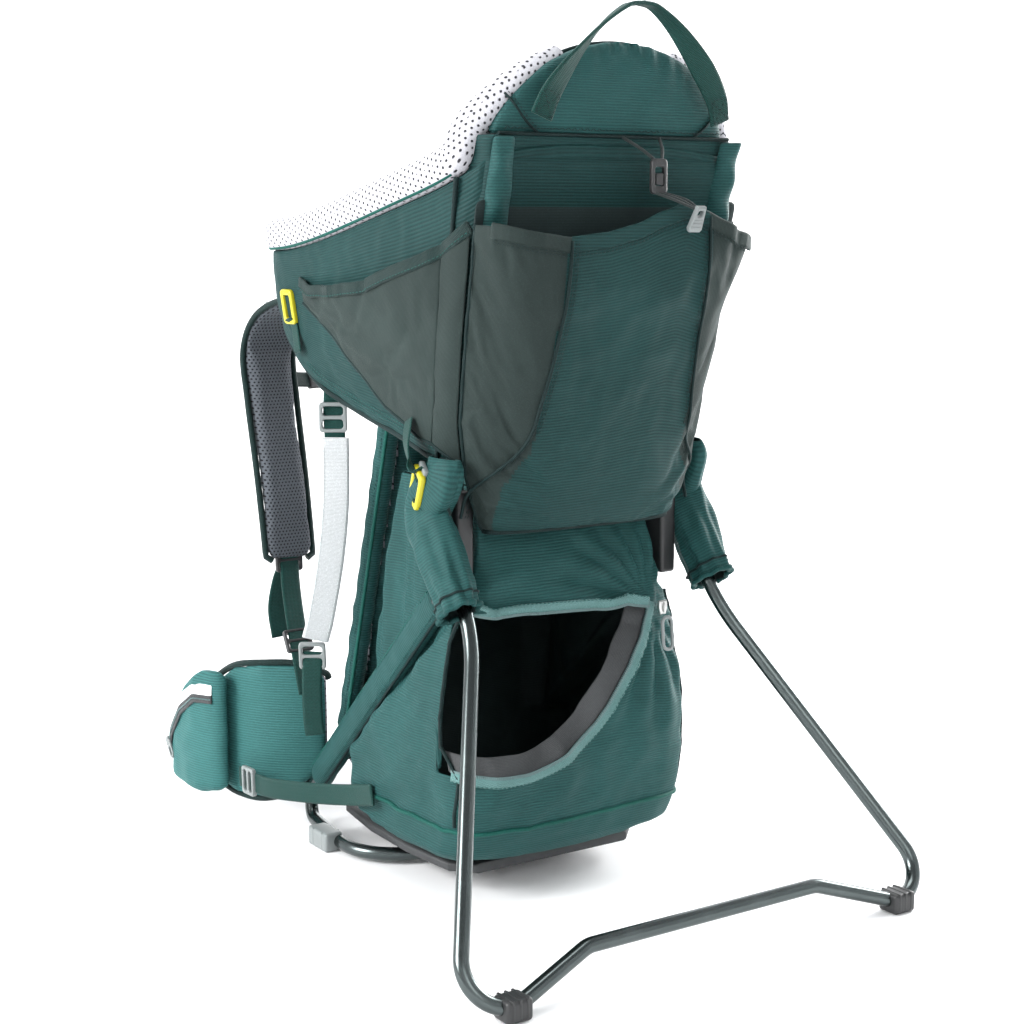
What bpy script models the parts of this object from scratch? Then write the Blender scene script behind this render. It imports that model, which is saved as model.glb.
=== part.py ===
"""Framed child carrier backpack, standing on its opened kickstand.

Metres, +Z up.  -Y is the outer side with the pockets, +Y is the side of the adult who wears it.
-X is the left side.  The floor is z = 0.  Fabric parts are plain closed solids with their true size.
"""

import math

import bmesh
import bpy
from mathutils import Matrix, Vector

# ---------------------------------------------------------------- driving dimensions
CENTRE_Y = 0.0163          # the middle of the whole depth; the origin is moved here at the end
GAP = 0.0005               # clearance kept between neighbouring pieces
TUBE_R = 0.006             # radius of every frame tube
FLOOR_TUBE_Z = 0.0092      # height of a tube's axis where it lies in its foot

PIVOT = Vector((0.121, -0.087, 0.320))      # kickstand axle, right side
RAIL_X = 0.102             # half spacing of the frame's diagonal rails
RAIL_SLOPE = -1.044        # change of y with z along a rail
RAIL_Y0 = 0.201            # y of a rail's axis continued to the floor
BACK_SLOPE = -0.264        # change of y with z along the wearer's back plane
BACK_Y0 = 0.148            # y of that plane's tubes continued to the floor
PANEL_SLOPE = -0.245       # change of y with z along the outer panel
PANEL_Y0 = -0.011          # y of the outer panel's face continued to the floor

KICK_LEAN = math.radians(34.0)              # kickstand plane from vertical, when open
BODY_WALL = 0.004          # wall of the cockpit, the bag and the outer pocket
HEAD_SEAM_Z = 0.616        # bottom of the headrest
HEADREST_TOP_Z = 0.688
POCKET_BOTTOM_Z = 0.312
POCKET_MOUTH_Z = 0.548
BAG_NARROW = 0.091         # half width of the bag between the rails
SIDES = (("left", -1), ("right", 1))


def rail_y(z):
    return RAIL_Y0 + RAIL_SLOPE * z


def back_y(z):
    return BACK_Y0 + BACK_SLOPE * z


def panel_y(z):
    return PANEL_Y0 + PANEL_SLOPE * z


# ---------------------------------------------------------------- materials
def material(name, colour, roughness, metallic=0.0):
    made = bpy.data.materials.new(name)
    made.use_nodes = True
    shader = made.node_tree.nodes["Principled BSDF"]
    shader.inputs["Base Color"].default_value = (*colour, 1)
    shader.inputs["Roughness"].default_value = roughness
    shader.inputs["Metallic"].default_value = metallic
    return made


def make_materials():
    return {
        "tube": material("anodised_tube", (0.11, 0.12, 0.13), 0.32, 0.9),
        "metal": material("steel", (0.55, 0.55, 0.55), 0.3, 1.0),
        "grey_plastic": material("grey_plastic", (0.42, 0.43, 0.43), 0.45),
        "black_plastic": material("black_plastic", (0.02, 0.02, 0.022), 0.5),
        "yellow_plastic": material("yellow_plastic", (0.62, 0.56, 0.02), 0.4),
        "teal_fabric": material("teal_fabric", (0.02, 0.11, 0.105), 0.8),
        "slate_fabric": material("slate_fabric", (0.12, 0.17, 0.16), 0.85),
        "mesh": material("spacer_mesh", (0.45, 0.46, 0.49), 0.9),
        "webbing": material("webbing", (0.01, 0.12, 0.10), 0.8),
        "pale_band": material("pale_band", (0.6, 0.62, 0.63), 0.85),
    }


# ---------------------------------------------------------------- paths
def smooth_path(points, per_span=5):
    """A Catmull-Rom curve through the points."""
    pts = [Vector(p) for p in points]
    ends = [2 * pts[0] - pts[1], *pts, 2 * pts[-1] - pts[-2]]
    made = []
    for a, b, c, d in zip(ends, ends[1:], ends[2:], ends[3:]):
        for i in range(per_span):
            t = i / per_span
            made.append(0.5 * (2 * b + (c - a) * t + (2 * a - 5 * b + 4 * c - d) * t**2
                               + (3 * b - a - 3 * c + d) * t**3))
    return [*made, pts[-1]]


def bent_path(points, radii, steps=6):
    """Straight runs between the points, with an arc of the given radius at each inner one."""
    pts = [Vector(p) for p in points]
    made = [pts[0]]
    for before, here, after, radius in zip(pts, pts[1:], pts[2:], radii):
        to_a, to_b = (before - here).normalized(), (after - here).normalized()
        half = to_a.angle(to_b) / 2
        centre = here + (to_a + to_b).normalized() * radius / math.sin(half)
        start = here + to_a * radius / math.tan(half) - centre
        axis = start.cross(here + to_b * radius / math.tan(half) - centre).normalized()
        sweep = math.pi - 2 * half
        made += [centre + Matrix.Rotation(sweep * i / steps, 3, axis) @ start for i in range(steps + 1)]
    return [*made, pts[-1]]


def mirrored(points):
    """A half path that starts on the left side, continued to its mirror image on the right."""
    return [*points, *[Vector((-p.x, p.y, p.z)) for p in reversed(points) if p.x < -1e-6]]


def sided(points, side):
    """Points given for the right side, placed on the side asked for."""
    return [Vector((side * p[0], p[1], p[2])) for p in points]


# ---------------------------------------------------------------- solids
def add_solid(name, verts, faces, mat):
    mesh = bpy.data.meshes.new(name)
    mesh.from_pydata([tuple(v) for v in verts], [], faces)
    work = bmesh.new()
    work.from_mesh(mesh)
    bmesh.ops.recalc_face_normals(work, faces=work.faces)
    work.to_mesh(mesh)
    work.free()
    mesh.shade_smooth()
    mesh.set_sharp_from_angle(angle=math.radians(40))
    mesh.materials.append(mat)
    made = bpy.data.objects.new(name, mesh)
    bpy.context.scene.collection.objects.link(made)
    return made


def tube(name, path, radius, mat, resolution=2):
    curve = bpy.data.curves.new(name, "CURVE")
    curve.dimensions = "3D"
    curve.bevel_depth = radius
    curve.bevel_resolution = resolution
    curve.use_fill_caps = True
    spline = curve.splines.new("POLY")
    spline.points.add(len(path) - 1)
    for point, place in zip(spline.points, path):
        point.co = (*place, 1)
    curve.materials.append(mat)
    made = bpy.data.objects.new(name, curve)
    bpy.context.scene.collection.objects.link(made)
    return made


def swept(name, path, ring, mat, inner=None, across=None):
    """A solid swept along a path.  ring and inner are lists of (width, height) offsets, and across,
    a vector or a function of the share along the path, is the direction of the width."""
    verts, faces = [], []
    rings = [ring] if inner is None else [ring, inner]
    n = len(ring)
    for i, place in enumerate(path):
        along = (path[min(i + 1, len(path) - 1)] - path[max(i - 1, 0)]).normalized()
        wide = Vector(across(i / (len(path) - 1)) if callable(across) else across or (1, 0, 0))
        wide = (wide - along * wide.dot(along)).normalized()
        high = along.cross(wide)
        for loop in rings:
            verts += [place + wide * w + high * h for w, h in loop]
    row = n * len(rings)
    for i in range(len(path) - 1):
        for k in range(len(rings)):
            for j in range(n):
                a, b = row * i + n * k + j, row * i + n * k + (j + 1) % n
                faces.append((a, b, b + row, a + row))
    for end in (0, row * (len(path) - 1)):
        if inner is None:
            faces.append(tuple(range(end, end + n)))
        else:
            faces += [(end + j, end + (j + 1) % n, end + n + (j + 1) % n, end + n + j) for j in range(n)]
    return add_solid(name, verts, faces, mat)


def oval(half_width, half_height, sides=12):
    return [(half_width * math.cos(math.tau * i / sides), half_height * math.sin(math.tau * i / sides))
            for i in range(sides)]


def flat_ring(width, thickness):
    w, t = width / 2, thickness / 2
    return [(-w, -t), (w, -t), (w, t), (-w, t)]


def ribbon(name, path, width, thickness, across, mat):
    return swept(name, path, flat_ring(width, thickness), mat, across=across)


def slab(name, surface, columns, rows, thickness, mat, outward):
    """A wall whose inner face is surface(u, v), thickened on the side that outward points to.
    thickness is a number or a function of (u, v)."""
    verts = []
    step = 1e-3
    for layer in (0, 1):
        for j in range(rows + 1):
            for i in range(columns + 1):
                u, v = i / columns, j / rows
                place = surface(u, v)
                if layer:
                    du = surface(min(u + step, 1), v) - surface(max(u - step, 0), v)
                    dv = surface(u, min(v + step, 1)) - surface(u, max(v - step, 0))
                    normal = du.cross(dv).normalized()
                    if normal.dot(Vector(outward)) < 0:
                        normal = -normal
                    place = place + normal * (thickness(u, v) if callable(thickness) else thickness)
                verts.append(place)
    row, layer_size = columns + 1, (columns + 1) * (rows + 1)
    faces = []
    for base in (0, layer_size):
        for j in range(rows):
            for i in range(columns):
                a = base + j * row + i
                faces.append((a, a + 1, a + 1 + row, a + row))
    edge = [*range(columns + 1), *[row * j + columns for j in range(1, rows + 1)],
            *[row * rows + i for i in range(columns - 1, -1, -1)],
            *[row * j for j in range(rows - 1, 0, -1)]]
    for a, b in zip(edge, [*edge[1:], edge[0]]):
        faces.append((a, b, b + layer_size, a + layer_size))
    return add_solid(name, verts, faces, mat)


def lofted(name, rings, mat):
    """A solid through closed rings of equally many points, capped at both ends."""
    n = len(rings[0])
    verts = [v for ring in rings for v in ring]
    faces = [tuple(range(n)), tuple(range(n * (len(rings) - 1), n * len(rings)))]
    for k in range(len(rings) - 1):
        faces += [(n * k + j, n * k + (j + 1) % n, n * (k + 1) + (j + 1) % n, n * (k + 1) + j)
                  for j in range(n)]
    return add_solid(name, verts, faces, mat)


def placed(right, up, origin):
    """A matrix whose X is right, whose Y is up and whose Z comes out of the plate."""
    x = Vector(right).normalized()
    y = (Vector(up) - x * Vector(up).dot(x)).normalized()
    turn = Matrix((x, y, x.cross(y))).transposed().to_4x4()
    return Matrix.Translation(Vector(origin)) @ turn


def rounded_outline(half_w, half_h, radius, steps=3):
    made = []
    for cx, cy, start in ((1, 1, 0), (-1, 1, 90), (-1, -1, 180), (1, -1, 270)):
        for i in range(steps + 1):
            a = math.radians(start + 90 * i / steps)
            made.append((cx * (half_w - radius) + radius * math.cos(a),
                         cy * (half_h - radius) + radius * math.sin(a)))
    return made


def plate(name, outlines, thickness, bevel, mat, matrix):
    """A flat plate of the first outline, with the other outlines as holes."""
    curve = bpy.data.curves.new(name, "CURVE")
    curve.dimensions = "2D"
    curve.fill_mode = "BOTH"
    curve.extrude = thickness / 2 - bevel
    curve.bevel_depth = bevel
    curve.bevel_resolution = 0
    curve.offset = -bevel
    for outline in outlines:
        spline = curve.splines.new("POLY")
        spline.use_cyclic_u = True
        spline.points.add(len(outline) - 1)
        for point, (x, y) in zip(spline.points, outline):
            point.co = (x, y, 0, 1)
    curve.materials.append(mat)
    made = bpy.data.objects.new(name, curve)
    made.matrix_world = matrix
    bpy.context.scene.collection.objects.link(made)
    return made


def block(name, size, bevel, mat, matrix, segments=2):
    mesh = bpy.data.meshes.new(name)
    work = bmesh.new()
    bmesh.ops.create_cube(work, size=1)
    bmesh.ops.scale(work, vec=Vector(size), verts=work.verts)
    bmesh.ops.bevel(work, geom=work.edges[:], offset=bevel, segments=segments, profile=0.5, affect="EDGES")
    work.to_mesh(mesh)
    work.free()
    mesh.shade_smooth()
    mesh.set_sharp_from_angle(angle=math.radians(40))
    mesh.materials.append(mat)
    made = bpy.data.objects.new(name, mesh)
    made.matrix_world = matrix
    bpy.context.scene.collection.objects.link(made)
    return made


def cut(target, cutter, operation="DIFFERENCE"):
    cutter.hide_render = True
    cutter.display_type = "WIRE"
    modifier = target.modifiers.new(operation.lower(), "BOOLEAN")
    modifier.operation = operation
    modifier.object = cutter


def interpolate(table, key, column):
    """Reads a column of a table of rows between the two rows whose first values enclose key."""
    if (table[-1][0] - table[0][0]) * (key - table[0][0]) <= 0:
        return table[0][column]
    for a, b in zip(table, table[1:]):
        if min(a[0], b[0]) <= key <= max(a[0], b[0]):
            return a[column] + (b[column] - a[column]) * (key - a[0]) / (b[0] - a[0])
    return table[-1][column]


def to_mesh(made):
    """Turns a curve object into a mesh object of the same name, as a Boolean needs."""
    bpy.context.view_layer.update()
    evaluated = made.evaluated_get(bpy.context.evaluated_depsgraph_get())
    mesh = bpy.data.meshes.new_from_object(evaluated)
    name, matrix = made.name, made.matrix_world.copy()
    bpy.data.objects.remove(made)
    work = bmesh.new()
    work.from_mesh(mesh)
    bmesh.ops.remove_doubles(work, verts=work.verts, dist=1e-6)
    bmesh.ops.recalc_face_normals(work, faces=work.faces)
    work.to_mesh(mesh)
    work.free()
    solid = bpy.data.objects.new(name, mesh)
    solid.matrix_world = matrix
    bpy.context.scene.collection.objects.link(solid)
    return solid


def clearance(name, path, radius=TUBE_R):
    """A cutter that makes the bore in which a tube on this path sits, a little past the tube's ends."""
    first = path[0] + (path[0] - path[1]).normalized() * 0.001
    last = path[-1] + (path[-1] - path[-2]).normalized() * 0.001
    return to_mesh(tube(name, [first, *path[1:-1], last], radius + GAP, bpy.data.materials["anodised_tube"]))


def pad_ring(centre, wide, high, half_w, half_h, corner):
    """A rounded rectangle about a centre."""
    wide, high = Vector(wide), Vector(high)
    return [Vector(centre) + wide * x + high * y for x, y in rounded_outline(half_w, half_h, corner, 2)]


# ---------------------------------------------------------------- frame
def floor_path():
    """The lower frame loop: down one rail, round under the bag and up the other rail."""
    top_z = 0.272
    points = [(-RAIL_X, rail_y(top_z), top_z), (-RAIL_X, rail_y(FLOOR_TUBE_Z), FLOOR_TUBE_Z),
              (-0.129, 0.018, FLOOR_TUBE_Z), (0, 0.018, FLOOR_TUBE_Z)]
    return mirrored(bent_path(points, (0.018, 0.052)))


def hoop_y(z):
    """Axis of the upper hoop, just inside the outer panel."""
    return panel_y(z) + BODY_WALL + TUBE_R + 0.006


def upper_path():
    points = [(-RAIL_X, -0.0865, 0.330), (-RAIL_X, hoop_y(0.385), 0.385), (-0.086, hoop_y(0.655), 0.655),
              (0, hoop_y(0.655), 0.655)]
    return mirrored(bent_path(points, (0.10, 0.042)))


def make_frame(mats):
    tube("floor_hoop", floor_path(), TUBE_R, mats["tube"])
    tube("upper_hoop", upper_path(), TUBE_R, mats["tube"])
    back = [(-0.089, back_y(0.084), 0.084), (-0.084, back_y(0.44), 0.44), (0, back_y(0.44), 0.44)]
    tube("back_hoop", mirrored(bent_path(back, (0.045,))), TUBE_R, mats["tube"])
    bar_z, bar_x = 0.075, RAIL_X - 0.0090
    tube("cross_bar", [Vector((s * bar_x, rail_y(bar_z), bar_z)) for s in (-1, 1)], 0.0055, mats["tube"])
    for name, side in SIDES:
        foot = block(f"hoop_foot_{name}", (0.018, 0.034, 0.0172), 0.002, mats["black_plastic"],
                     Matrix.Translation((side * 0.1245, 0.100, 0.0086)), 1)
        cut(foot, clearance(f"hoop_foot_bore_{name}", floor_path()))
        make_pivot(name, side, mats)


def make_pivot(name, side, mats):
    """The block that joins the rails and carries the kickstand's bolt."""
    bracket = block(f"pivot_bracket_{name}", (0.0155, 0.031, 0.086), 0.002, mats["black_plastic"],
                    Matrix.Translation((side * RAIL_X, -0.0865, 0.301)), 1)
    cut(bracket, clearance(f"rail_bore_{name}", floor_path()))
    cut(bracket, clearance(f"hoop_bore_{name}", upper_path()))
    inner, outer = RAIL_X - 0.0065, PIVOT.x + TUBE_R + 0.0008
    shank = sided([(inner, PIVOT.y, PIVOT.z), (outer + 0.0008, PIVOT.y, PIVOT.z)], side)
    bore = sided([(inner, *PIVOT.yz), (outer, *PIVOT.yz)], side)
    cut(bracket, clearance(f"bolt_bore_{name}", bore, 0.003))
    bolt = to_mesh(tube(f"pivot_bolt_{name}", shank, 0.003, mats["metal"]))
    head = sided([(outer, *PIVOT.yz), (outer + 0.004, *PIVOT.yz)], side)
    cut(bolt, to_mesh(tube(f"bolt_head_{name}", head, 0.0055, mats["metal"])), "UNION")


def kick_point(x, down):
    """A point of the kickstand's plane, this far down it from the axle."""
    return Vector((x, PIVOT.y - down * math.sin(KICK_LEAN), PIVOT.z - down * math.cos(KICK_LEAN)))


def kick_path():
    points = [kick_point(-PIVOT.x, -0.011), kick_point(-PIVOT.x, 0.097), kick_point(-0.2420, 0.3972),
              kick_point(-0.112, 0.3475), kick_point(0, 0.3475)]
    return mirrored(bent_path(points, (0.16, 0.030, 0.03), 7))


def make_kickstand(mats):
    kickstand = to_mesh(tube("kickstand", kick_path(), TUBE_R, mats["tube"], 2))
    for name, side in SIDES:
        bolt = sided([(PIVOT.x - 0.012, *PIVOT.yz), (PIVOT.x + 0.012, *PIVOT.yz)], side)
        cut(kickstand, clearance(f"axle_bore_{name}", bolt, 0.003))
        low = min(kick_path(), key=lambda p: (p.z, abs(p.x - side * 0.19)))
        foot = block(f"kickstand_clip_{name}", (0.022, 0.020, 0.0172), 0.002, mats["black_plastic"],
                     Matrix.Translation((side * abs(low.x), low.y, 0.0086)), 1)
        cut(foot, clearance(f"kickstand_clip_bore_{name}", kick_path()))
        axis = [kick_point(0, down) + Vector((side * 0.1268, 0, 0)) for down in (0.022, 0.040, 0.058, 0.078)]
        swept(f"kickstand_boot_{name}", axis, oval(0.0155, 0.020, 16), mats["teal_fabric"],
              oval(0.0135, 0.018, 16))


# ---------------------------------------------------------------- cockpit
# Half of the cockpit's plan, at 0.5 m: x, y, how much it leans with the outer panel, hem and rim heights
COCKPIT = ((0.000, 0.158, 0.00, 0.498, 0.530), (0.085, 0.158, 0.00, 0.498, 0.530),
           (0.126, 0.152, 0.00, 0.494, 0.530), (0.1425, 0.132, 0.00, 0.455, 0.529),
           (0.1430, 0.090, 0.00, 0.417, 0.532), (0.1390, 0.030, 0.05, 0.397, 0.543),
           (0.1330, -0.040, 0.30, 0.381, 0.561), (0.1275, -0.095, 0.70, 0.370, 0.578),
           (0.1210, -0.123, 0.95, 0.368, 0.592), (0.1050, -0.1325, 1.00, 0.367, 0.604),
           (0.0550, -0.1330, 1.00, 0.367, 0.611), (0.000, -0.1330, 1.00, 0.367, 0.612))
REFERENCE_Z = 0.5
FLARE = 0.15               # widening of the sides with height


def cockpit_stations(steps=4):
    """Rows like COCKPIT's, finely spaced, on the right half."""
    xy = smooth_path([(r[0], r[1], 0) for r in COCKPIT], steps)
    other = smooth_path([(r[2], r[3], r[4]) for r in COCKPIT], steps)
    return [(a.x, a.y, max(b.x, 0), b.y, b.z) for a, b in zip(xy, other)]


def cockpit_point(row, z, inset=0.0, normal=(0, 0)):
    flare = FLARE * (1 - 0.8 * row[2]) * min(1, row[0] / 0.12)
    x = row[0] + flare * (z - REFERENCE_Z) - inset * normal[0]
    return Vector((x, row[1] + row[2] * PANEL_SLOPE * (z - REFERENCE_Z) - inset * normal[1], z))


def cockpit_normals(rows):
    made = []
    for i in range(len(rows)):
        a, b = rows[max(i - 1, 0)], rows[min(i + 1, len(rows) - 1)]
        along = Vector((b[0] - a[0], b[1] - a[1])).normalized()
        made.append((-along.y, along.x))
    return made


def cockpit_x(y, z):
    """Half width of the cockpit's outer face at a point of its side."""
    places = [cockpit_point(row, z) for row in cockpit_stations() if row[0] > 0.11]
    return interpolate([(p.y, p.x) for p in places], y, 1)


def make_cockpit(mats):
    rows = cockpit_stations()
    normals = cockpit_normals(rows)
    half = []
    for row, normal in zip(rows, normals):
        outer = [cockpit_point(row, row[3]), cockpit_point(row, row[4])]
        half.append(outer + [cockpit_point(row, z, BODY_WALL, normal) for z in (row[4], row[3])])
    loop = half + [[Vector((-p.x, p.y, p.z)) for p in ring] for ring in reversed(half[1:-1])]
    verts = [p for ring in loop for p in ring]
    count = len(loop)
    faces = [(4 * i + j, 4 * i + (j + 1) % 4, 4 * ((i + 1) % count) + (j + 1) % 4, 4 * ((i + 1) % count) + j)
             for i in range(count) for j in range(4)]
    add_solid("cockpit_shell", verts, faces, mats["teal_fabric"])
    make_rim(rows, normals, mats)
    for name, side in SIDES:
        slab(f"side_pocket_{name}", lambda u, v, s=side: side_pocket_point(u, v, s), 12, 6, 0.0025,
             mats["slate_fabric"], (side, 0, 0))
        clip = [rounded_outline(0.010, 0.015, 0.003), rounded_outline(0.006, 0.011, 0.002)]
        place = (side * (cockpit_x(0.110, 0.482) + 0.0045), 0.110, 0.482)
        plate(f"corner_clip_{name}", clip, 0.004, 0.0008, mats["yellow_plastic"],
              placed((0, -side, 0), (side * FLARE, 0.25, 1), place))


def make_rim(rows, normals, mats):
    """The padded band on the rim, from one end of the headrest round to the other."""
    half_height = 0.0125
    right = [cockpit_point(row, row[4], BODY_WALL / 2, normal) for row, normal in zip(rows, normals)
             if row[1] > -0.112]
    for i, place in enumerate(list(right)):
        before, after = rows[max(i - 3, 0)], rows[i + 3]
        slope = (after[4] - before[4]) / math.dist(after[:2], before[:2])
        right[i] = place + Vector((0, 0, (half_height + 0.001) * math.sqrt(1 + slope**2) + 0.0005))
    path = [Vector((-p.x, p.y, p.z)) for p in reversed(right)] + right[1:]

    def outward(share):
        i = min(max(round(share * (len(path) - 1)), 1), len(path) - 2)
        along = path[i + 1] - path[i - 1]
        return Vector((-along.y, along.x, 0))

    swept("rim_pad", path, oval(0.0095, half_height), mats["mesh"], across=outward)


# Side pocket: y at the reference height, heights of its seam and its mouth
SIDE_POCKET = ((0.086, 0.486, 0.503), (0.065, 0.474, 0.499), (0.032, 0.447, 0.499), (-0.025, 0.406, 0.504),
               (-0.087, 0.384, 0.523), (-0.108, 0.382, 0.532))


def side_pocket_point(u, v, side):
    """The inner face of a side pocket: close to the side at its seam, standing off at its mouth."""
    y = SIDE_POCKET[0][0] + (SIDE_POCKET[-1][0] - SIDE_POCKET[0][0]) * u
    low, high = interpolate(SIDE_POCKET, y, 1), interpolate(SIDE_POCKET, y, 2)
    rows = [row for row in cockpit_stations() if row[0] > 0.1 and row[1] < 0.13]
    by_y = [(row[1], row[0], row[1], row[2]) for row in rows]
    row = [interpolate(by_y, y, column) for column in (1, 2, 3)]
    stand_off = 0.0022 + 0.0105 * math.sin(math.pi * u) ** 0.7 * v
    place = cockpit_point(row, low + (high - low) * v)
    return Vector((side * (place.x + stand_off), place.y - stand_off * 0.4 * u**3, place.z))


def headrest_half_width(z):
    return 0.113 * math.sqrt(max(0, 1 - ((z - 0.600) / (HEADREST_TOP_Z - 0.600)) ** 2))


def make_headrest(mats):
    rings = []
    for z in (HEAD_SEAM_Z, 0.619, 0.630, 0.642, 0.655, 0.667, 0.677, 0.684, 0.687):
        edge = (z - HEAD_SEAM_Z) / (HEADREST_TOP_Z - HEAD_SEAM_Z)
        depth = 0.0135 * math.sqrt(1.02 - edge**3) - (0.003 if z == HEAD_SEAM_Z else 0)
        width = headrest_half_width(z) - (0.003 if z == HEAD_SEAM_Z else 0)
        centre = (0, hoop_y(z) - 0.001, z)
        rings.append(pad_ring(centre, (1, 0, 0), (0, 1, 0), width, depth, min(depth, width) * 0.96))
    headrest = lofted("headrest", rings, mats["teal_fabric"])
    cut(headrest, clearance("headrest_bore", upper_path()))
    lining = []
    for z in (0.6175, 0.630, 0.645, 0.660, 0.672, 0.681):
        centre = (0, hoop_y(z) + 0.0155, z)
        lining.append(pad_ring(centre, (1, 0, 0), (0, 1, 0), headrest_half_width(z) - 0.004, 0.0025, 0.002))
    lofted("headrest_lining", lining, mats["mesh"])
    arch = [(-0.085, -0.1800, 0.630), (-0.078, -0.1835, 0.648), (-0.060, -0.1860, 0.672),
            (-0.036, -0.1870, 0.697), (-0.014, -0.1875, 0.7125), (0, -0.1875, 0.7155)]
    path = mirrored(smooth_path(arch, 4))

    def twisting(share):
        """Flat on the headrest at the ends, turned a quarter at the top of the arch."""
        i = min(max(round(share * (len(path) - 1)), 1), len(path) - 2)
        along = path[i + 1] - path[i - 1]
        flat = Vector((along.z, 0, -along.x)).normalized()
        turned = math.sin(math.pi * share) ** 1.5
        return flat * (1 - turned) + Vector((0, 1, 0)) * turned

    ribbon("grab_handle", path, 0.019, 0.003, twisting, mats["webbing"])


# ---------------------------------------------------------------- outer pocket
OUTER_POCKET = ((POCKET_BOTTOM_Z, 0.089, 0.020), (0.318, 0.094, 0.027), (0.335, 0.101, 0.033),
                (0.360, 0.1085, 0.037), (0.400, 0.115, 0.040), (0.460, 0.120, 0.042), (0.520, 0.1235, 0.044),
                (POCKET_MOUTH_Z, 0.1255, 0.0455))


def pocket_back(z):
    return panel_y(z) - 0.0025 - 0.15 * max(0, 0.400 - z)


def pocket_ring(z, inset):
    """A D-shaped level of the pocket: straight along the panel, bulging outwards."""
    level = min(z, POCKET_MOUTH_Z)
    half = interpolate(OUTER_POCKET, level, 1) - inset
    depth = interpolate(OUTER_POCKET, level, 2) - 2 * inset
    back = pocket_back(z) - inset
    bulge = []
    for i in range(17):
        x = -half * math.cos(math.pi * i / 16)
        y = back - depth * (1 - abs(x / half) ** 2.8) ** (1 / 2.8) - (0.004 if 0 < i < 16 else 0)
        bulge.append(Vector((x, y, z)))
    return bulge + [Vector((half * (1 - i / 3), back, z)) for i in (1, 2, 3, 4, 5)]


def make_outer_pocket(mats):
    pocket = lofted("outer_pocket", [pocket_ring(row[0], 0) for row in OUTER_POCKET], mats["teal_fabric"])
    levels = [POCKET_BOTTOM_Z + BODY_WALL, *[row[0] for row in OUTER_POCKET[2:]], POCKET_MOUTH_Z + 0.02]
    cut(pocket, lofted("pocket_hollow", [pocket_ring(z, 0.003) for z in levels], mats["teal_fabric"]))
    ring = [rounded_outline(0.0075, 0.0135, 0.003), rounded_outline(0.0045, 0.0095, 0.002)]
    plate("pocket_hook", ring, 0.005, 0.001, mats["black_plastic"],
          placed((1, 0, 0), (-0.12, 0, 1), (0.018, -0.1885, 0.588)))
    hole = [(x, y + 0.005) for x, y in rounded_outline(0.0025, 0.003, 0.002)]
    drop = [rounded_outline(0.0065, 0.011, 0.005), hole]
    plate("cord_pull", drop, 0.005, 0.001, mats["grey_plastic"],
          placed((1, 0, 0), (-0.5, -0.5, 1), (0.042, -0.2065, 0.556)))


# ---------------------------------------------------------------- lower bag
# Height, outer face, face towards the wearer, half width
BAG = ((0.0300, -0.080, 0.052, 0.098), (0.0340, -0.092, 0.062, 0.107), (0.0480, -0.106, 0.070, 0.115),
       (0.0750, -0.117, 0.075, 0.119), (0.1100, -0.124, 0.080, 0.120), (0.1500, -0.127, 0.084, 0.119),
       (0.1900, -0.127, 0.082, 0.113), (0.2300, -0.123, 0.071, 0.109), (0.2460, -0.120, 0.067, 0.106),
       (0.2550, -0.117, 0.064, BAG_NARROW), (0.2740, -0.111, 0.059, BAG_NARROW),
       (0.3050, -0.098, 0.051, 0.090), (0.3450, -0.084, 0.042, 0.086))


def bag_ring(z, inset):
    front = interpolate(BAG, z, 1) + inset
    rear = interpolate(BAG, z, 2) - inset
    wide = interpolate(BAG, z, 3) - inset
    step = rail_y(z) - 0.022 - inset
    narrow = min(wide, BAG_NARROW - inset)
    if step > rear - 0.012:
        step, narrow = rear - 0.020, wide
    step = max(step, front + 0.020)
    corner = min(0.030, step - 0.011 - front)
    right = [(0, front - 0.004), (wide * 0.5, front - 0.003), (wide - corner, front),
             (wide - corner * 0.3, front + corner * 0.25), (wide, front + corner * 0.9),
             (wide, step - 0.010), (max(narrow, wide - 0.004), step - 0.003), (narrow, step + 0.004),
             (narrow, rear - 0.014), (narrow - 0.013, rear), (0, rear)]
    return [Vector((x, y, z)) for x, y in right] + [Vector((-x, y, z)) for x, y in reversed(right[1:-1])]


# Outline of the open zip seen from the outer side: x, z
BAG_MOUTH = ((-0.135, 0.238), (-0.104, 0.246), (-0.060, 0.248), (0.000, 0.246), (0.064, 0.241),
             (0.069, 0.236), (0.054, 0.208), (0.034, 0.173), (0.010, 0.142), (-0.020, 0.124),
             (-0.050, 0.116), (-0.085, 0.114), (-0.135, 0.118))


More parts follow.
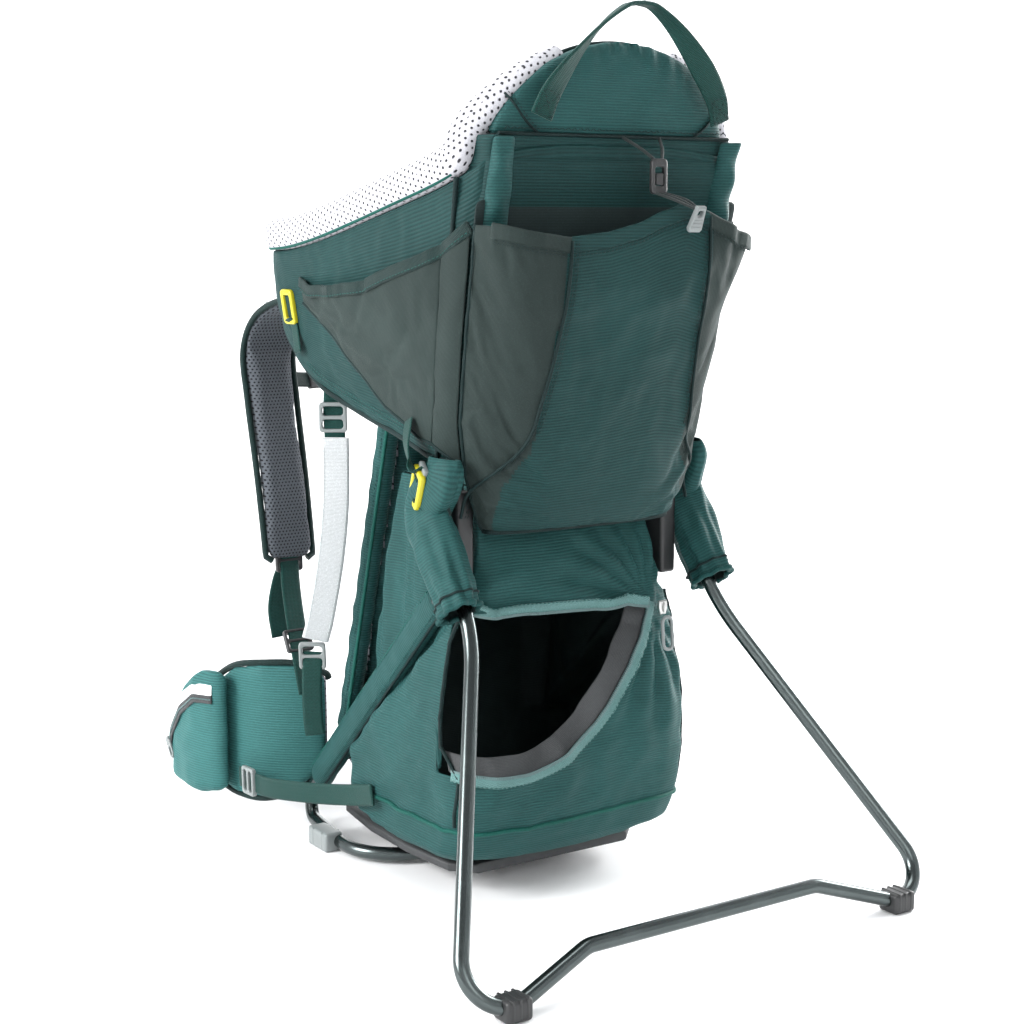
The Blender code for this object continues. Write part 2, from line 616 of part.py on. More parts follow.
def make_lower_bag(mats):
    bag = lofted("lower_bag", [bag_ring(row[0], 0) for row in BAG], mats["teal_fabric"])
    levels = [BAG[0][0] + BODY_WALL, *[row[0] for row in BAG[2:-1]], BAG[-1][0] - BODY_WALL]
    cut(bag, lofted("bag_hollow", [bag_ring(z, BODY_WALL) for z in levels], mats["teal_fabric"]))
    near = [Vector((x, -0.20, z)) for x, z in BAG_MOUTH]
    far = [Vector((x, -0.082 + 0.25 * min(0, 0.16 - z), z)) for x, z in BAG_MOUTH]
    cut(bag, lofted("bag_mouth", [near, far], mats["teal_fabric"]))
    base = [(0.135, 0.070), (0.128, 0.088), (0.065, 0.098), (0.000, 0.100), (-0.060, 0.095), (-0.078, 0.078)]
    rings = [pad_ring((0, y, 0.0225), (1, 0, 0), (0, 0, 1), half, 0.0045, 0.0035) for y, half in base]
    lofted("base_panel", rings, mats["black_plastic"])
    block("zip_slider", (0.008, 0.012, 0.004), 0.001, mats["grey_plastic"],
          placed((1, 0, 0), (-0.3, 0, 1), (0.074, -0.1295, 0.236)), 1)
    loop = [rounded_outline(0.0065, 0.015, 0.006), rounded_outline(0.0040, 0.0125, 0.0038)]
    plate("zip_pull", loop, 0.003, 0.0008, mats["grey_plastic"],
          placed((1, 0, 0), (0, 0.10, 1), (0.076, -0.1345, 0.2145)))


# ---------------------------------------------------------------- carrying system
def rail_sleeve_path(side):
    return [Vector((side * RAIL_X, rail_y(z), z)) for z in (0.046, 0.10, 0.15, 0.20, 0.250)]


def make_back(mats):
    for name, side in SIDES:
        swept(f"rail_sleeve_{name}", rail_sleeve_path(side), oval(0.0083, 0.0130, 16), mats["teal_fabric"],
              oval(0.0068, 0.0075, 16))
    rings = []
    for z, half in ((0.125, 0.066), (0.130, 0.070), (0.20, 0.076), (0.30, 0.074), (0.38, 0.070),
                    (0.415, 0.062), (0.420, 0.058)):
        rings.append(pad_ring((0, back_y(z) + 0.0155, z), (1, 0, 0), (0, 1, 0), half, 0.0075, 0.006))
    lofted("back_panel", rings, mats["mesh"])
    rings = []
    for x in (-0.066, -0.060, -0.030, 0.030, 0.060, 0.066):
        half = 0.046 if abs(x) < 0.062 else 0.040
        rings.append(pad_ring((x, 0.156 + 2.0 * x * x, 0.092), (0, 0, 1), (0, 1, 0), half, 0.0085, 0.007))
    lofted("lumbar_pad", rings, mats["mesh"])
    rings = []
    for z, half in ((0.352, 0.046), (0.358, 0.052), (0.400, 0.064), (0.430, 0.072), (0.436, 0.068)):
        rings.append(pad_ring((0, back_y(z) + 0.0305, z), (1, 0, 0), (0, 1, 0), half, 0.0050, 0.004))
    lofted("harness_yoke", rings, mats["teal_fabric"])


SHOULDER = ((0.046, 0.0560, 0.4430), (0.054, 0.0950, 0.4580), (0.066, 0.1450, 0.4760),
            (0.078, 0.1950, 0.4840), (0.089, 0.2370, 0.4680), (0.095, 0.2540, 0.4350),
            (0.097, 0.2440, 0.3900), (0.099, 0.2260, 0.3300), (0.101, 0.2120, 0.2800),
            (0.102, 0.2040, 0.2440))


def make_shoulder(name, side, mats):
    path = smooth_path(sided(SHOULDER, side), 3)
    rings = []
    for i, place in enumerate(path):
        share = i / (len(path) - 1)
        along = (path[min(i + 1, len(path) - 1)] - path[max(i - 1, 0)]).normalized()
        wide = Vector((1, 0, 0)) - along * along.x
        width = 0.0270 - 0.004 * abs(share - 0.45) - (0.006 if i in (0, len(path) - 1) else 0)
        width -= 0.008 * max(0, 0.15 - share) / 0.15
        wide.normalize()
        rings.append(pad_ring(place, wide, along.cross(wide), width, 0.0065, 0.005))
    lofted(f"shoulder_strap_{name}", rings, mats["mesh"])
    lower = [(0.1025, 0.2040, 0.2370), (0.1050, 0.1960, 0.2150), (0.1085, 0.1805, 0.1850),
             (0.1110, 0.1650, 0.1560), (0.1120, 0.1520, 0.1280)]
    ribbon(f"strap_webbing_{name}", smooth_path(sided(lower, side), 3), 0.019, 0.0022, (1, 0, 0),
           mats["webbing"])
    chest = [(0.0680, 0.2560, 0.4060), (0.0560, 0.2590, 0.4050), (0.0440, 0.2620, 0.4040),
             (0.0330, 0.2650, 0.4030)]
    ribbon(f"chest_strap_{name}", smooth_path(sided(chest, side), 3), 0.015, 0.004, (0, 0.30, 1),
           mats["black_plastic"])


# Plan of a hip wing and its lower and upper edges: x, y, z, z
HIP_WING = ((0.078, 0.176, 0.052, 0.134), (0.082, 0.1775, 0.046, 0.140), (0.104, 0.1900, 0.026, 0.149),
            (0.128, 0.2100, 0.016, 0.149), (0.1415, 0.2400, 0.016, 0.143), (0.1440, 0.2750, 0.020, 0.126),
            (0.1400, 0.3050, 0.028, 0.108), (0.1330, 0.3260, 0.036, 0.094), (0.1300, 0.3310, 0.042, 0.088))


def make_hip(name, side, mats):
    rings = []
    for i, (x, y, low, high) in enumerate(HIP_WING):
        a, b = HIP_WING[max(i - 1, 0)], HIP_WING[min(i + 1, len(HIP_WING) - 1)]
        along = Vector((b[0] - a[0], b[1] - a[1], 0)).normalized()
        depth = 0.0068 if 0 < i < len(HIP_WING) - 1 else 0.0045
        rings.append(pad_ring((side * x, y, (low + high) / 2), (0, 0, 1),
                              (side * along.y, -along.x, 0), (high - low) / 2, depth, depth * 0.8))
    lofted(f"hip_wing_{name}", rings, mats["teal_fabric"])
    make_hip_pocket(name, side, mats)
    belt = [(0.1180, 0.3270, 0.065), (0.1020, 0.3180, 0.064), (0.0850, 0.3120, 0.063),
            (0.0600, 0.3085, 0.062)]
    strap = ribbon(f"belt_end_{name}", smooth_path(sided(belt, side), 3), 0.024, 0.0025, (0, 0, 1),
                   mats["black_plastic"])
    tip = 0.0410 if side < 0 else 0.0360
    buckle = [(0.0680, 0.3088, 0.062), (0.0540, 0.3075, 0.062), (tip, 0.3070, 0.062)]
    cut(strap, swept(f"belt_buckle_{name}", sided(buckle, side), flat_ring(0.032, 0.011),
                     mats["black_plastic"], across=(0, 0, 1)), "UNION")


def make_hip_pocket(name, side, mats):
    """The pouch outside a hip wing, slanting down towards its tip."""
    stations = ((0.232, 0.1560, 0.026, 0.132, 0.0035), (0.238, 0.1595, 0.022, 0.138, 0.0070),
                (0.262, 0.1655, 0.016, 0.137, 0.0110), (0.290, 0.1660, 0.014, 0.120, 0.0120),
                (0.318, 0.1640, 0.014, 0.092, 0.0110), (0.334, 0.1610, 0.016, 0.066, 0.0080),
                (0.339, 0.1590, 0.022, 0.056, 0.0045))
    rings = [pad_ring((side * x, y, (low + high) / 2), (0, 0, 1), (1, 0, 0), (high - low) / 2, depth,
                      depth * 0.8) for y, x, low, high, depth in stations]
    lofted(f"hip_pocket_{name}", rings, mats["teal_fabric"])


# ---------------------------------------------------------------- stirrups and side buckles
STIRRUP = ((0.1250, 0.0700, 0.3720), (0.1250, 0.0710, 0.3180), (0.1250, 0.0820, 0.2640),
           (0.1250, 0.1010, 0.2100), (0.1250, 0.1120, 0.1880))


def ladder_lock(width, height, bar):
    """Outlines of a frame buckle: its rim and the two slots that the webbing passes."""
    slot_h = (height - 3 * bar) / 4
    slots = []
    for centre in (-(slot_h + bar / 2), slot_h + bar / 2):
        slots.append([(x, y + centre) for x, y in rounded_outline(width / 2 - bar, slot_h, slot_h * 0.6)])
    return [rounded_outline(width / 2, height / 2, bar), *slots]


def make_stirrup(name, side, mats):
    across = Vector((side * 0.83, 0.556, 0))
    path = smooth_path(sided(STIRRUP, side), 4)
    ribbon(f"stirrup_{name}", path, 0.024, 0.0025, tuple(across), mats["pale_band"])
    plate(f"stirrup_lock_{name}", ladder_lock(0.024, 0.026, 0.0032), 0.004, 0.0008, mats["grey_plastic"],
          placed(tuple(across), (0, -0.10, 1), (side * 0.1250, 0.0730, 0.3890)))


def make_entry_buckle(name, side, mats):
    """The frame buckle of the side opening, under the cockpit's hem."""
    outlines = [rounded_outline(0.0140, 0.0150, 0.004), rounded_outline(0.0095, 0.0095, 0.002)]
    plate(f"entry_buckle_{name}", outlines, 0.005, 0.001, mats["yellow_plastic"],
          placed((side * 0.35, -1, -0.35), (0, -0.35, 1), (side * 0.1350, -0.0820, 0.3480)))


# ---------------------------------------------------------------- child's seat
def make_seat(mats):
    profile = smooth_path([(0, -0.080, 0.402), (0, -0.071, 0.384), (0, -0.045, 0.370), (0, -0.015, 0.366),
                           (0, 0.008, 0.378)], 3)
    rings = []
    for i, place in enumerate(profile):
        share = i / (len(profile) - 1)
        along = (profile[min(i + 1, len(profile) - 1)] - profile[max(i - 1, 0)]).normalized()
        half = 0.070 - 0.034 * share**1.6 - (0.005 if i in (0, len(profile) - 1) else 0)
        rings.append(pad_ring(place, (1, 0, 0), along.cross(Vector((1, 0, 0))), half, 0.0055, 0.0045))
    lofted("child_seat", rings, mats["mesh"])
    rings = []
    for z, half in ((0.402, 0.066), (0.407, 0.072), (0.48, 0.080), (0.56, 0.079), (0.594, 0.070),
                    (0.599, 0.064)):
        rings.append(pad_ring((0, panel_y(z) + 0.0130, z), (1, 0, 0), (0, 1, 0), half, 0.0060, 0.005))
    lofted("seat_back", rings, mats["mesh"])
    for name, side in SIDES:
        strap = [(0.040, panel_y(0.580) + 0.0250, 0.580), (0.038, -0.1080, 0.535), (0.030, -0.0880, 0.490),
                 (0.0205, -0.0750, 0.456)]
        path = smooth_path(sided(strap, side), 3)
        swept(f"child_harness_{name}", path, [(x, y) for x, y in rounded_outline(0.015, 0.004, 0.003, 2)],
              mats["mesh"])
    buckle_place = placed((1, 0, 0), (0, -0.3, 1), (0, -0.0700, 0.4310))
    buckle = block("harness_buckle", (0.040, 0.034, 0.012), 0.003, mats["black_plastic"], buckle_place)
    recess = Matrix.Translation((0, 0, -0.0075))
    cut(buckle, block("button_recess", (0.0170, 0.0170, 0.0090), 0.0004, mats["black_plastic"],
                      buckle_place @ recess, 1))
    block("buckle_button", (0.0160, 0.0160, 0.0040), 0.0008, mats["yellow_plastic"],
          buckle_place @ recess, 1)


def centre_on_origin():
    """Moves the model so that its box is centred on the origin, front to back."""
    for piece in bpy.data.objects:
        piece.location.y -= CENTRE_Y


def main():
    for piece in list(bpy.data.objects):
        bpy.data.objects.remove(piece)
    mats = make_materials()
    make_frame(mats)
    make_kickstand(mats)
    make_cockpit(mats)
    make_headrest(mats)
    make_outer_pocket(mats)
    make_lower_bag(mats)
    make_back(mats)
    for name, side in SIDES:
        make_shoulder(name, side, mats)
        make_hip(name, side, mats)
        make_stirrup(name, side, mats)
        make_entry_buckle(name, side, mats)
    make_seat(mats)
    centre_on_origin()


main()
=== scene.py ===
"""The looks of the framed child carrier backpack: fabric, webbing, padding, tubes and fittings.

Metres, +Z up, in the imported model's frame.  -Y is the outer side with the pockets, +Y the wearer's side.
"""

import math

import bmesh
import bpy
from mathutils import Matrix, Vector, noise
from mathutils.bvhtree import BVHTree


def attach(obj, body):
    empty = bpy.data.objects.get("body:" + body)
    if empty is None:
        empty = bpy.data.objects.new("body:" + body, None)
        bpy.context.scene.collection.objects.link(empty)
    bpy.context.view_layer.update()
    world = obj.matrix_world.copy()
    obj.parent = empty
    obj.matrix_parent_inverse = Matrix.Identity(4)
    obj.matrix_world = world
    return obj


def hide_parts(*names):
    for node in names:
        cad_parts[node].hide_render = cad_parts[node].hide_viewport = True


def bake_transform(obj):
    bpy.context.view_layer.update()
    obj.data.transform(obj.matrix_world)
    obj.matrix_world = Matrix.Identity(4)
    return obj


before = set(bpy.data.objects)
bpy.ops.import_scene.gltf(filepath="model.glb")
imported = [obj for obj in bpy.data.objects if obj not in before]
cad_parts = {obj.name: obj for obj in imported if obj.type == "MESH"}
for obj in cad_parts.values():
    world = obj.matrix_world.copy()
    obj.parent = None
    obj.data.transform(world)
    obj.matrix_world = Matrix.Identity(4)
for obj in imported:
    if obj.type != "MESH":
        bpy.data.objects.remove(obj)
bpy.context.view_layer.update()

# ---------------------------------------------------------------- driving dimensions
CENTRE_Y = 0.0163          # the model's origin is moved by this along Y, as in the part
TUBE_R = 0.006
FLOOR_TUBE_Z = 0.0092
PIVOT = Vector((0.121, -0.087 - CENTRE_Y, 0.320))
RAIL_X = 0.102
RAIL_SLOPE = 1.044         # how far each plane leans towards -Y for one unit of height
BACK_SLOPE = 0.264
PANEL_SLOPE = 0.245
KICK_LEAN = math.radians(34.0)
HEAD_SEAM_Z = 0.616
HEADREST_TOP_Z = 0.688
POCKET_BOTTOM_Z = 0.312
POCKET_MOUTH_Z = 0.548
BAG_NARROW = 0.091
SIDES = (("left", -1), ("right", 1))


def P(x, y, z):
    """A point given as the design gives it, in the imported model's frame."""
    return Vector((x, y - CENTRE_Y, z))


def rail_y(z):
    """y of the diagonal rails' middle at a height."""
    return 0.201 - RAIL_SLOPE * z - CENTRE_Y


def back_y(z):
    """y of the back hoop's middle at a height."""
    return 0.148 - BACK_SLOPE * z - CENTRE_Y


def panel_y(z):
    """y of the cockpit's outer face at a height."""
    return -0.011 - PANEL_SLOPE * z - CENTRE_Y


def hoop_y(z):
    """y of the upper hoop's middle at a height."""
    return panel_y(z) + 0.016


# ---------------------------------------------------------------- camera, light and floor
CAMERA_PLACE = (-0.8782, -1.3259 - CENTRE_Y, 0.5544)
CAMERA_PITCH, CAMERA_TURN = -8.88, -33.81      # degrees
CAMERA_LENS = 65.49
WORLD_STRENGTH = 0.50
MIDDLE = (0, -0.05, 0.33)
LIGHTS = (("key_light", (-2.2, 0.35, 1.2), MIDDLE, 1.1, 88), ("top_light", (0.2, 0.3, 2.4), MIDDLE, 1.4, 40),
          ("rim_light", (1.9, 0.1, 0.9), MIDDLE, 0.9, 60), ("front_light", (-0.5, -2.6, 1.4), MIDDLE, 1.2, 14),
          ("wall_light", (1.0, 1.5, 1.9), (2.3, 3.4, 1.6), 1.6, 120))
FLOOR_R, FLOOR_CURVE_R, WALL_TOP = 3.0, 1.6, 4.5


def floor_profile():
    """Radius and height of the floor and of the wall that it curves up into."""
    curve = [(FLOOR_R + FLOOR_CURVE_R * math.sin(a), FLOOR_CURVE_R - FLOOR_CURVE_R * math.cos(a))
             for a in (math.radians(6 * k) for k in range(1, 16))]
    return [(0.01, 0), (FLOOR_R, 0), *curve, (FLOOR_R + FLOOR_CURVE_R, WALL_TOP)]


def make_stage():
    scene = bpy.context.scene
    camera = bpy.data.objects.new("camera", bpy.data.cameras.new("camera"))
    camera.data.sensor_width = 36
    camera.data.lens = CAMERA_LENS
    camera.data.clip_start = 0.01
    camera.location = CAMERA_PLACE
    camera.rotation_euler = (math.radians(90 + CAMERA_PITCH), 0, math.radians(CAMERA_TURN))
    scene.collection.objects.link(camera)
    scene.camera = camera
    scene.view_settings.view_transform = "Standard"
    world = bpy.data.worlds.new("studio")
    world.use_nodes = True
    background = world.node_tree.nodes["Background"]
    background.inputs["Color"].default_value = (0.97, 0.98, 1.0, 1)
    background.inputs["Strength"].default_value = WORLD_STRENGTH
    scene.world = world
    for name, place, aim, size, power in LIGHTS:
        light = bpy.data.objects.new(name, bpy.data.lights.new(name, "AREA"))
        light.data.size = size
        light.data.energy = power
        light.location = place
        light.rotation_euler = (Vector(aim) - Vector(place)).to_track_quat("-Z", "Y").to_euler()
        scene.collection.objects.link(light)
    rings = [[Vector((r * math.cos(math.tau * k / 96), r * math.sin(math.tau * k / 96), z)) for k in range(96)]
             for r, z in floor_profile()]
    floor = grid_mesh("floor", rings, closed=True)
    floor_object = bpy.data.objects.new("floor", floor)
    scene.collection.objects.link(floor_object)
    pale = bpy.data.materials.new("floor_paint")
    pale.use_nodes = True
    shader = pale.node_tree.nodes["Principled BSDF"]
    shader.inputs["Base Color"].default_value = (0.93, 0.935, 0.94, 1)
    shader.inputs["Roughness"].default_value = 0.6
    floor.materials.append(pale)


# ---------------------------------------------------------------- materials
class Tree:
    """A small helper for building one material's nodes."""

    def __init__(self, name):
        self.material = bpy.data.materials.new(name)
        self.material.use_nodes = True
        self.tree = self.material.node_tree
        self.shader = self.tree.nodes["Principled BSDF"]

    def put(self, socket, value):
        if isinstance(value, bpy.types.NodeSocket):
            self.tree.links.new(value, socket)
        else:
            socket.default_value = value

    def node(self, kind, *values, out=0, **settings):
        made = self.tree.nodes.new("ShaderNode" + kind)
        for key, value in settings.items():
            setattr(made, key, value)
        for i, value in enumerate(values):
            if value is not None:
                self.put(made.inputs[i], value)
        return made.outputs[out]

    def math(self, operation, a, b=0.0, c=0.0):
        return self.node("Math", a, b, c, operation=operation)

    def ramp(self, value, low, high, to_low=0.0, to_high=1.0):
        return self.node("MapRange", value, low, high, to_low, to_high, interpolation_type="SMOOTHSTEP")

    def mix(self, share, a, b, blend="MIX"):
        made = self.tree.nodes.new("ShaderNodeMix")
        made.data_type = "RGBA"
        made.blend_type = blend
        self.put(made.inputs[0], share)
        self.put(made.inputs[6], a)
        self.put(made.inputs[7], b)
        return made.outputs[2]

    def noise(self, place, scale, detail=2.0, roughness=0.5):
        made = self.tree.nodes.new("ShaderNodeTexNoise")
        self.put(made.inputs["Vector"], place)
        made.inputs["Scale"].default_value = scale
        made.inputs["Detail"].default_value = detail
        made.inputs["Roughness"].default_value = roughness
        return made.outputs["Fac"]

    def bump(self, height, strength, distance, normal=None):
        made = self.tree.nodes.new("ShaderNodeBump")
        made.inputs["Strength"].default_value = strength
        made.inputs["Distance"].default_value = distance
        self.put(made.inputs["Height"], height)
        if normal is not None:
            self.put(made.inputs["Normal"], normal)
        return made.outputs["Normal"]

    def finish(self, colour, roughness, normal=None, **fixed):
        self.put(self.shader.inputs["Base Color"], colour)
        self.put(self.shader.inputs["Roughness"], roughness)
        if normal is not None:
            self.put(self.shader.inputs["Normal"], normal)
        for key, value in fixed.items():
            self.shader.inputs[key.replace("_", " ")].default_value = value
        return self.material


def rgb(r, g, b):
    return (r, g, b, 1.0)


def surface_place(t, plane):
    """Two coordinates in metres across the cloth: from its own layout, or from the object's space."""
    if plane == "uv":
        return t.node("TexCoord", out=2)
    place = t.node("TexCoord", out=3)
    x, y, z = (t.node("SeparateXYZ", place, out=i) for i in range(3))
    first, second = {"xz": (x, z), "yz": (y, z), "xy": (x, y)}[plane]
    return t.node("CombineXYZ", first, second, 0.0)


def woven(name, colour, plane="uv", rib=0.0024, rib_depth=0.35, weave=0.0009, twill=False, roughness=0.62,
          fade=0.25):
    """Ripstop or twill: ribs or diagonals, a fine weave, a heather of yarns and slight wear."""
    t = Tree(name)
    place = surface_place(t, plane)
    u = t.node("SeparateXYZ", place, out=0)
    v = t.node("SeparateXYZ", place, out=1)
    turn = t.math("ADD", u, v) if twill else v
    ribs = t.math("MULTIPLY_ADD", t.math("SINE", t.math("MULTIPLY", turn, math.tau / rib)), 0.5, 0.5)
    threads_u = t.math("SINE", t.math("MULTIPLY", u, math.tau / weave))
    threads_v = t.math("SINE", t.math("MULTIPLY", v, math.tau / weave))
    weave_height = t.math("MULTIPLY_ADD", t.math("MULTIPLY", threads_u, threads_v), 0.25, 0.5)
    space = t.node("TexCoord", out=3)
    yarns = t.noise(space, 900, 2)
    cloudy = t.noise(space, 9, 3, 0.6)
    dark = tuple(c * 0.62 for c in colour)
    pale = tuple(min(1, c * 1.6 + 0.002) for c in colour)
    tone = t.mix(t.ramp(ribs, 0.1, 0.75), rgb(*dark), rgb(*colour))
    tone = t.mix(t.math("MULTIPLY", t.ramp(yarns, 0.45, 0.75), 0.30), tone, rgb(*pale))
    tone = t.mix(t.math("MULTIPLY", t.ramp(cloudy, 0.35, 0.75), fade), tone, rgb(*pale))
    fine = t.bump(weave_height, 0.35, 0.0003)
    ribbed = t.bump(ribs, rib_depth, 0.0007, fine)
    rough = t.math("MULTIPLY_ADD", yarns, 0.16, roughness - 0.08)
    tint = rgb(*[min(1, 0.15 + 6 * c) for c in colour])
    return t.finish(tone, rough, ribbed, Sheen_Weight=0.07, Sheen_Roughness=0.4, Sheen_Tint=tint,
                    Specular_IOR_Level=0.16)


def perforated(name, colour, hole, plane="uv", pitch=0.0052, radius=0.23):
    """Spacer mesh: rows of offset round holes in a knitted face."""
    t = Tree(name)
    place = surface_place(t, plane)
    scaled = t.node("VectorMath", place, (1 / pitch, 1 / (pitch * 1.732), 1), operation="MULTIPLY")
    distances = []
    for shift in (0.0, 0.5):
        moved = t.node("VectorMath", scaled, (shift, shift, 0), operation="ADD")
        part = t.node("VectorMath", t.node("VectorMath", moved, operation="FRACTION"), (0.5, 0.5, 0),
                      operation="SUBTRACT")
        flat = t.node("VectorMath", part, (1, 1.732, 0), operation="MULTIPLY")
        distances.append(t.node("VectorMath", flat, operation="LENGTH", out=1))
    nearest = t.math("MINIMUM", *distances)
    solid = t.ramp(nearest, radius * 0.78, radius * 1.2)
    knit = t.noise(t.node("TexCoord", out=3), 1300, 1)
    face = t.mix(t.math("MULTIPLY", t.ramp(knit, 0.35, 0.7), 0.45), rgb(*[c * 0.72 for c in colour]), rgb(*colour))
    tone = t.mix(solid, rgb(*hole), face)
    normal = t.bump(solid, 0.8, 0.0012, t.bump(knit, 0.3, 0.0003))
    return t.finish(tone, 0.85, normal, Sheen_Weight=0.06, Specular_IOR_Level=0.15)


def webbing_material(name, colour, rib=0.0013):
    """Woven tape: zigzag ribs across it and a heather of paler yarns."""
    t = Tree(name)
    place = surface_place(t, "uv")
    u = t.node("SeparateXYZ", place, out=0)
    v = t.node("SeparateXYZ", place, out=1)
    bent = t.math("MULTIPLY_ADD", t.math("ABSOLUTE", t.math("SINE", t.math("MULTIPLY", u, 900))), 0.0006, v)
    ribs = t.math("MULTIPLY_ADD", t.math("SINE", t.math("MULTIPLY", bent, math.tau / rib)), 0.5, 0.5)
    yarns = t.noise(t.node("TexCoord", out=3), 1100, 2)
    tone = t.mix(t.ramp(ribs, 0.15, 0.8), rgb(*[c * 0.45 for c in colour]), rgb(*colour))
    pale = rgb(*[min(1, c * 1.7 + 0.004) for c in colour])
    tone = t.mix(t.math("MULTIPLY", t.ramp(yarns, 0.45, 0.8), 0.30), tone, pale)
    return t.finish(tone, 0.58, t.bump(ribs, 0.6, 0.0006, t.bump(yarns, 0.2, 0.0002)), Sheen_Weight=0.05,
                    Specular_IOR_Level=0.2)


def plastic(name, colour, roughness=0.38, grain=0.12):
    """Moulded plastic with a fine grain and paler rubbed patches."""
    t = Tree(name)
    space = t.node("TexCoord", out=3)
    grit = t.noise(space, 2600, 2)
    worn = t.noise(space, 60, 4, 0.6)
    tone = t.mix(t.math("MULTIPLY", t.ramp(worn, 0.5, 0.75), 0.22), rgb(*colour),
                 rgb(*[min(1, c * 1.35 + 0.02) for c in colour]))
    rough = t.math("MULTIPLY_ADD", worn, 0.16, roughness - 0.08)
    return t.finish(tone, rough, t.bump(grit, grain, 0.0002))


def metal(name, colour, roughness):
    """Anodised or steel tube: a fine grit and a few dull rubs."""
    t = Tree(name)
    space = t.node("TexCoord", out=3)
    grit = t.noise(space, 1500, 2)
    rubs = t.noise(space, 35, 5, 0.65)
    tone = t.mix(t.math("MULTIPLY", t.ramp(rubs, 0.52, 0.72), 0.25), rgb(*colour),
                 rgb(*[min(1, c * 1.4 + 0.02) for c in colour]))
    rough = t.math("MULTIPLY_ADD", rubs, 0.14, roughness - 0.07)
    return t.finish(tone, rough, t.bump(grit, 0.06, 0.0002), Metallic=1.0)


TEAL = (0.014, 0.062, 0.060)
# The teal darkened to about 0.6: painted shade for the bag's underside.
UNDERSIDE_TEAL_PAINTED_SHADE = (0.008, 0.038, 0.037)
SLATE = (0.019, 0.030, 0.028)
# The same teal ripstop darkened to about 0.6 of TEAL: painted shade for cloth that faces away from the lamps.
TEAL_WITH_PAINTED_SHADE = (0.008, 0.037, 0.036)


def make_materials():
    dark_hole, panel_mesh = (0.016, 0.017, 0.021), (0.26, 0.27, 0.31)
    return {
        "tube": metal("gunmetal_tube", (0.085, 0.100, 0.100), 0.24),
        "steel": metal("bolt_steel", (0.55, 0.55, 0.54), 0.3),
        "ripstop": woven("teal_ripstop", TEAL),
        "inside": woven("dark_inside_cloth", (0.010, 0.018, 0.018), rib=0.0016, rib_depth=0.1),
        "ripstop_xz": woven("teal_ripstop_xz", TEAL, "xz"),
        "ripstop_yz": woven("teal_ripstop_yz", TEAL, "yz"),
        # Painted shade: the teal ripstop darkened, for the cockpit, outer pocket, hem and collar.
        "ripstop_painted_shade": woven("teal_painted_shade", TEAL_WITH_PAINTED_SHADE),
        "ripstop_painted_shade_xz": woven("teal_painted_shade_xz", TEAL_WITH_PAINTED_SHADE, "xz"),
        # Painted light: the teal ripstop brightened about twofold for the hip pads and pouches, as if lit from the
        # left.
        "hip_painted_light_teal": woven("hip_painted_light_teal_yz", (0.030, 0.120, 0.116), "yz"),
        # Painted shade: a darkened teal for the bag's underside.
        "underside_painted_shade": woven("underside_painted_shade_teal", UNDERSIDE_TEAL_PAINTED_SHADE, rib=0.0016, rib_depth=0.2),
        "plain": woven("teal_plain_weave", (0.009, 0.052, 0.050), rib=0.0010, rib_depth=0.15, weave=0.0007),
        "slate": woven("slate_twill", SLATE, rib=0.0011, rib_depth=0.3, twill=True, roughness=0.7, fade=0.35),
        "lining": woven("grey_lining", (0.055, 0.058, 0.060), rib=0.0012, rib_depth=0.15),
        "lining_teal": woven("inner_lining", (0.018, 0.030, 0.030), rib=0.0012, rib_depth=0.1),
        "rim_mesh": perforated("rim_mesh", (0.58, 0.58, 0.62), (0.030, 0.031, 0.035), pitch=0.0056, radius=0.185),
        "strap_mesh": perforated("strap_mesh", (0.105, 0.118, 0.135), (0.012, 0.013, 0.016), "xz", 0.0034, 0.24),
        "mesh_xz": perforated("panel_mesh_xz", panel_mesh, dark_hole, "xz", 0.0046, 0.24),
        "mesh_yz": perforated("panel_mesh_yz", panel_mesh, dark_hole, "yz", 0.0040, 0.24),
        "webbing": webbing_material("teal_webbing", (0.004, 0.048, 0.040)),
        "dark_webbing": webbing_material("dark_webbing", (0.004, 0.022, 0.020)),
        "tape": webbing_material("pale_tape", (0.13, 0.27, 0.26), rib=0.0010),
        "band": woven("pale_band", (0.52, 0.54, 0.55), rib=0.0012, rib_depth=0.2, fade=0.1, roughness=0.7),
        "piping": woven("teal_piping", (0.006, 0.075, 0.060), rib=0.0012, rib_depth=0.3),
        "dark_piping": woven("dark_piping", (0.005, 0.016, 0.016), rib=0.0012, rib_depth=0.3),
        "thread": woven("sewing_thread", (0.020, 0.095, 0.085), rib=0.0005, rib_depth=0.3),
        "dark_thread": woven("dark_thread", (0.008, 0.022, 0.022), rib=0.0005, rib_depth=0.3),
        "pale_thread": woven("pale_thread", (0.55, 0.60, 0.60), rib=0.0005, rib_depth=0.3),
        "grey_plastic": plastic("grey_moulding", (0.19, 0.21, 0.21), 0.36),
        "black_plastic": plastic("black_moulding", (0.018, 0.019, 0.020), 0.42),
        "yellow_plastic": plastic("yellow_moulding", (0.46, 0.41, 0.010), 0.34),
        "tooth": plastic("zip_teeth", (0.10, 0.17, 0.17), 0.35),
        "rubber": plastic("dark_rubber", (0.030, 0.032, 0.034), 0.62, 0.3),
        "cord": webbing_material("black_cord", (0.035, 0.045, 0.045), rib=0.0009),
        "white_band": plastic("reflective_band", (0.80, 0.83, 0.83), 0.30, 0.2),
    }


# ---------------------------------------------------------------- mesh building
def add_piece(name, mesh, mats, body, stands_for=()):
    made = bpy.data.objects.new(name, mesh)
    bpy.context.scene.collection.objects.link(made)
    for mat in mats if isinstance(mats, (list, tuple)) else [mats]:
        made.data.materials.append(mat)
    if body:
        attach(made, body)
    if stands_for:
        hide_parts(*stands_for)
    return made


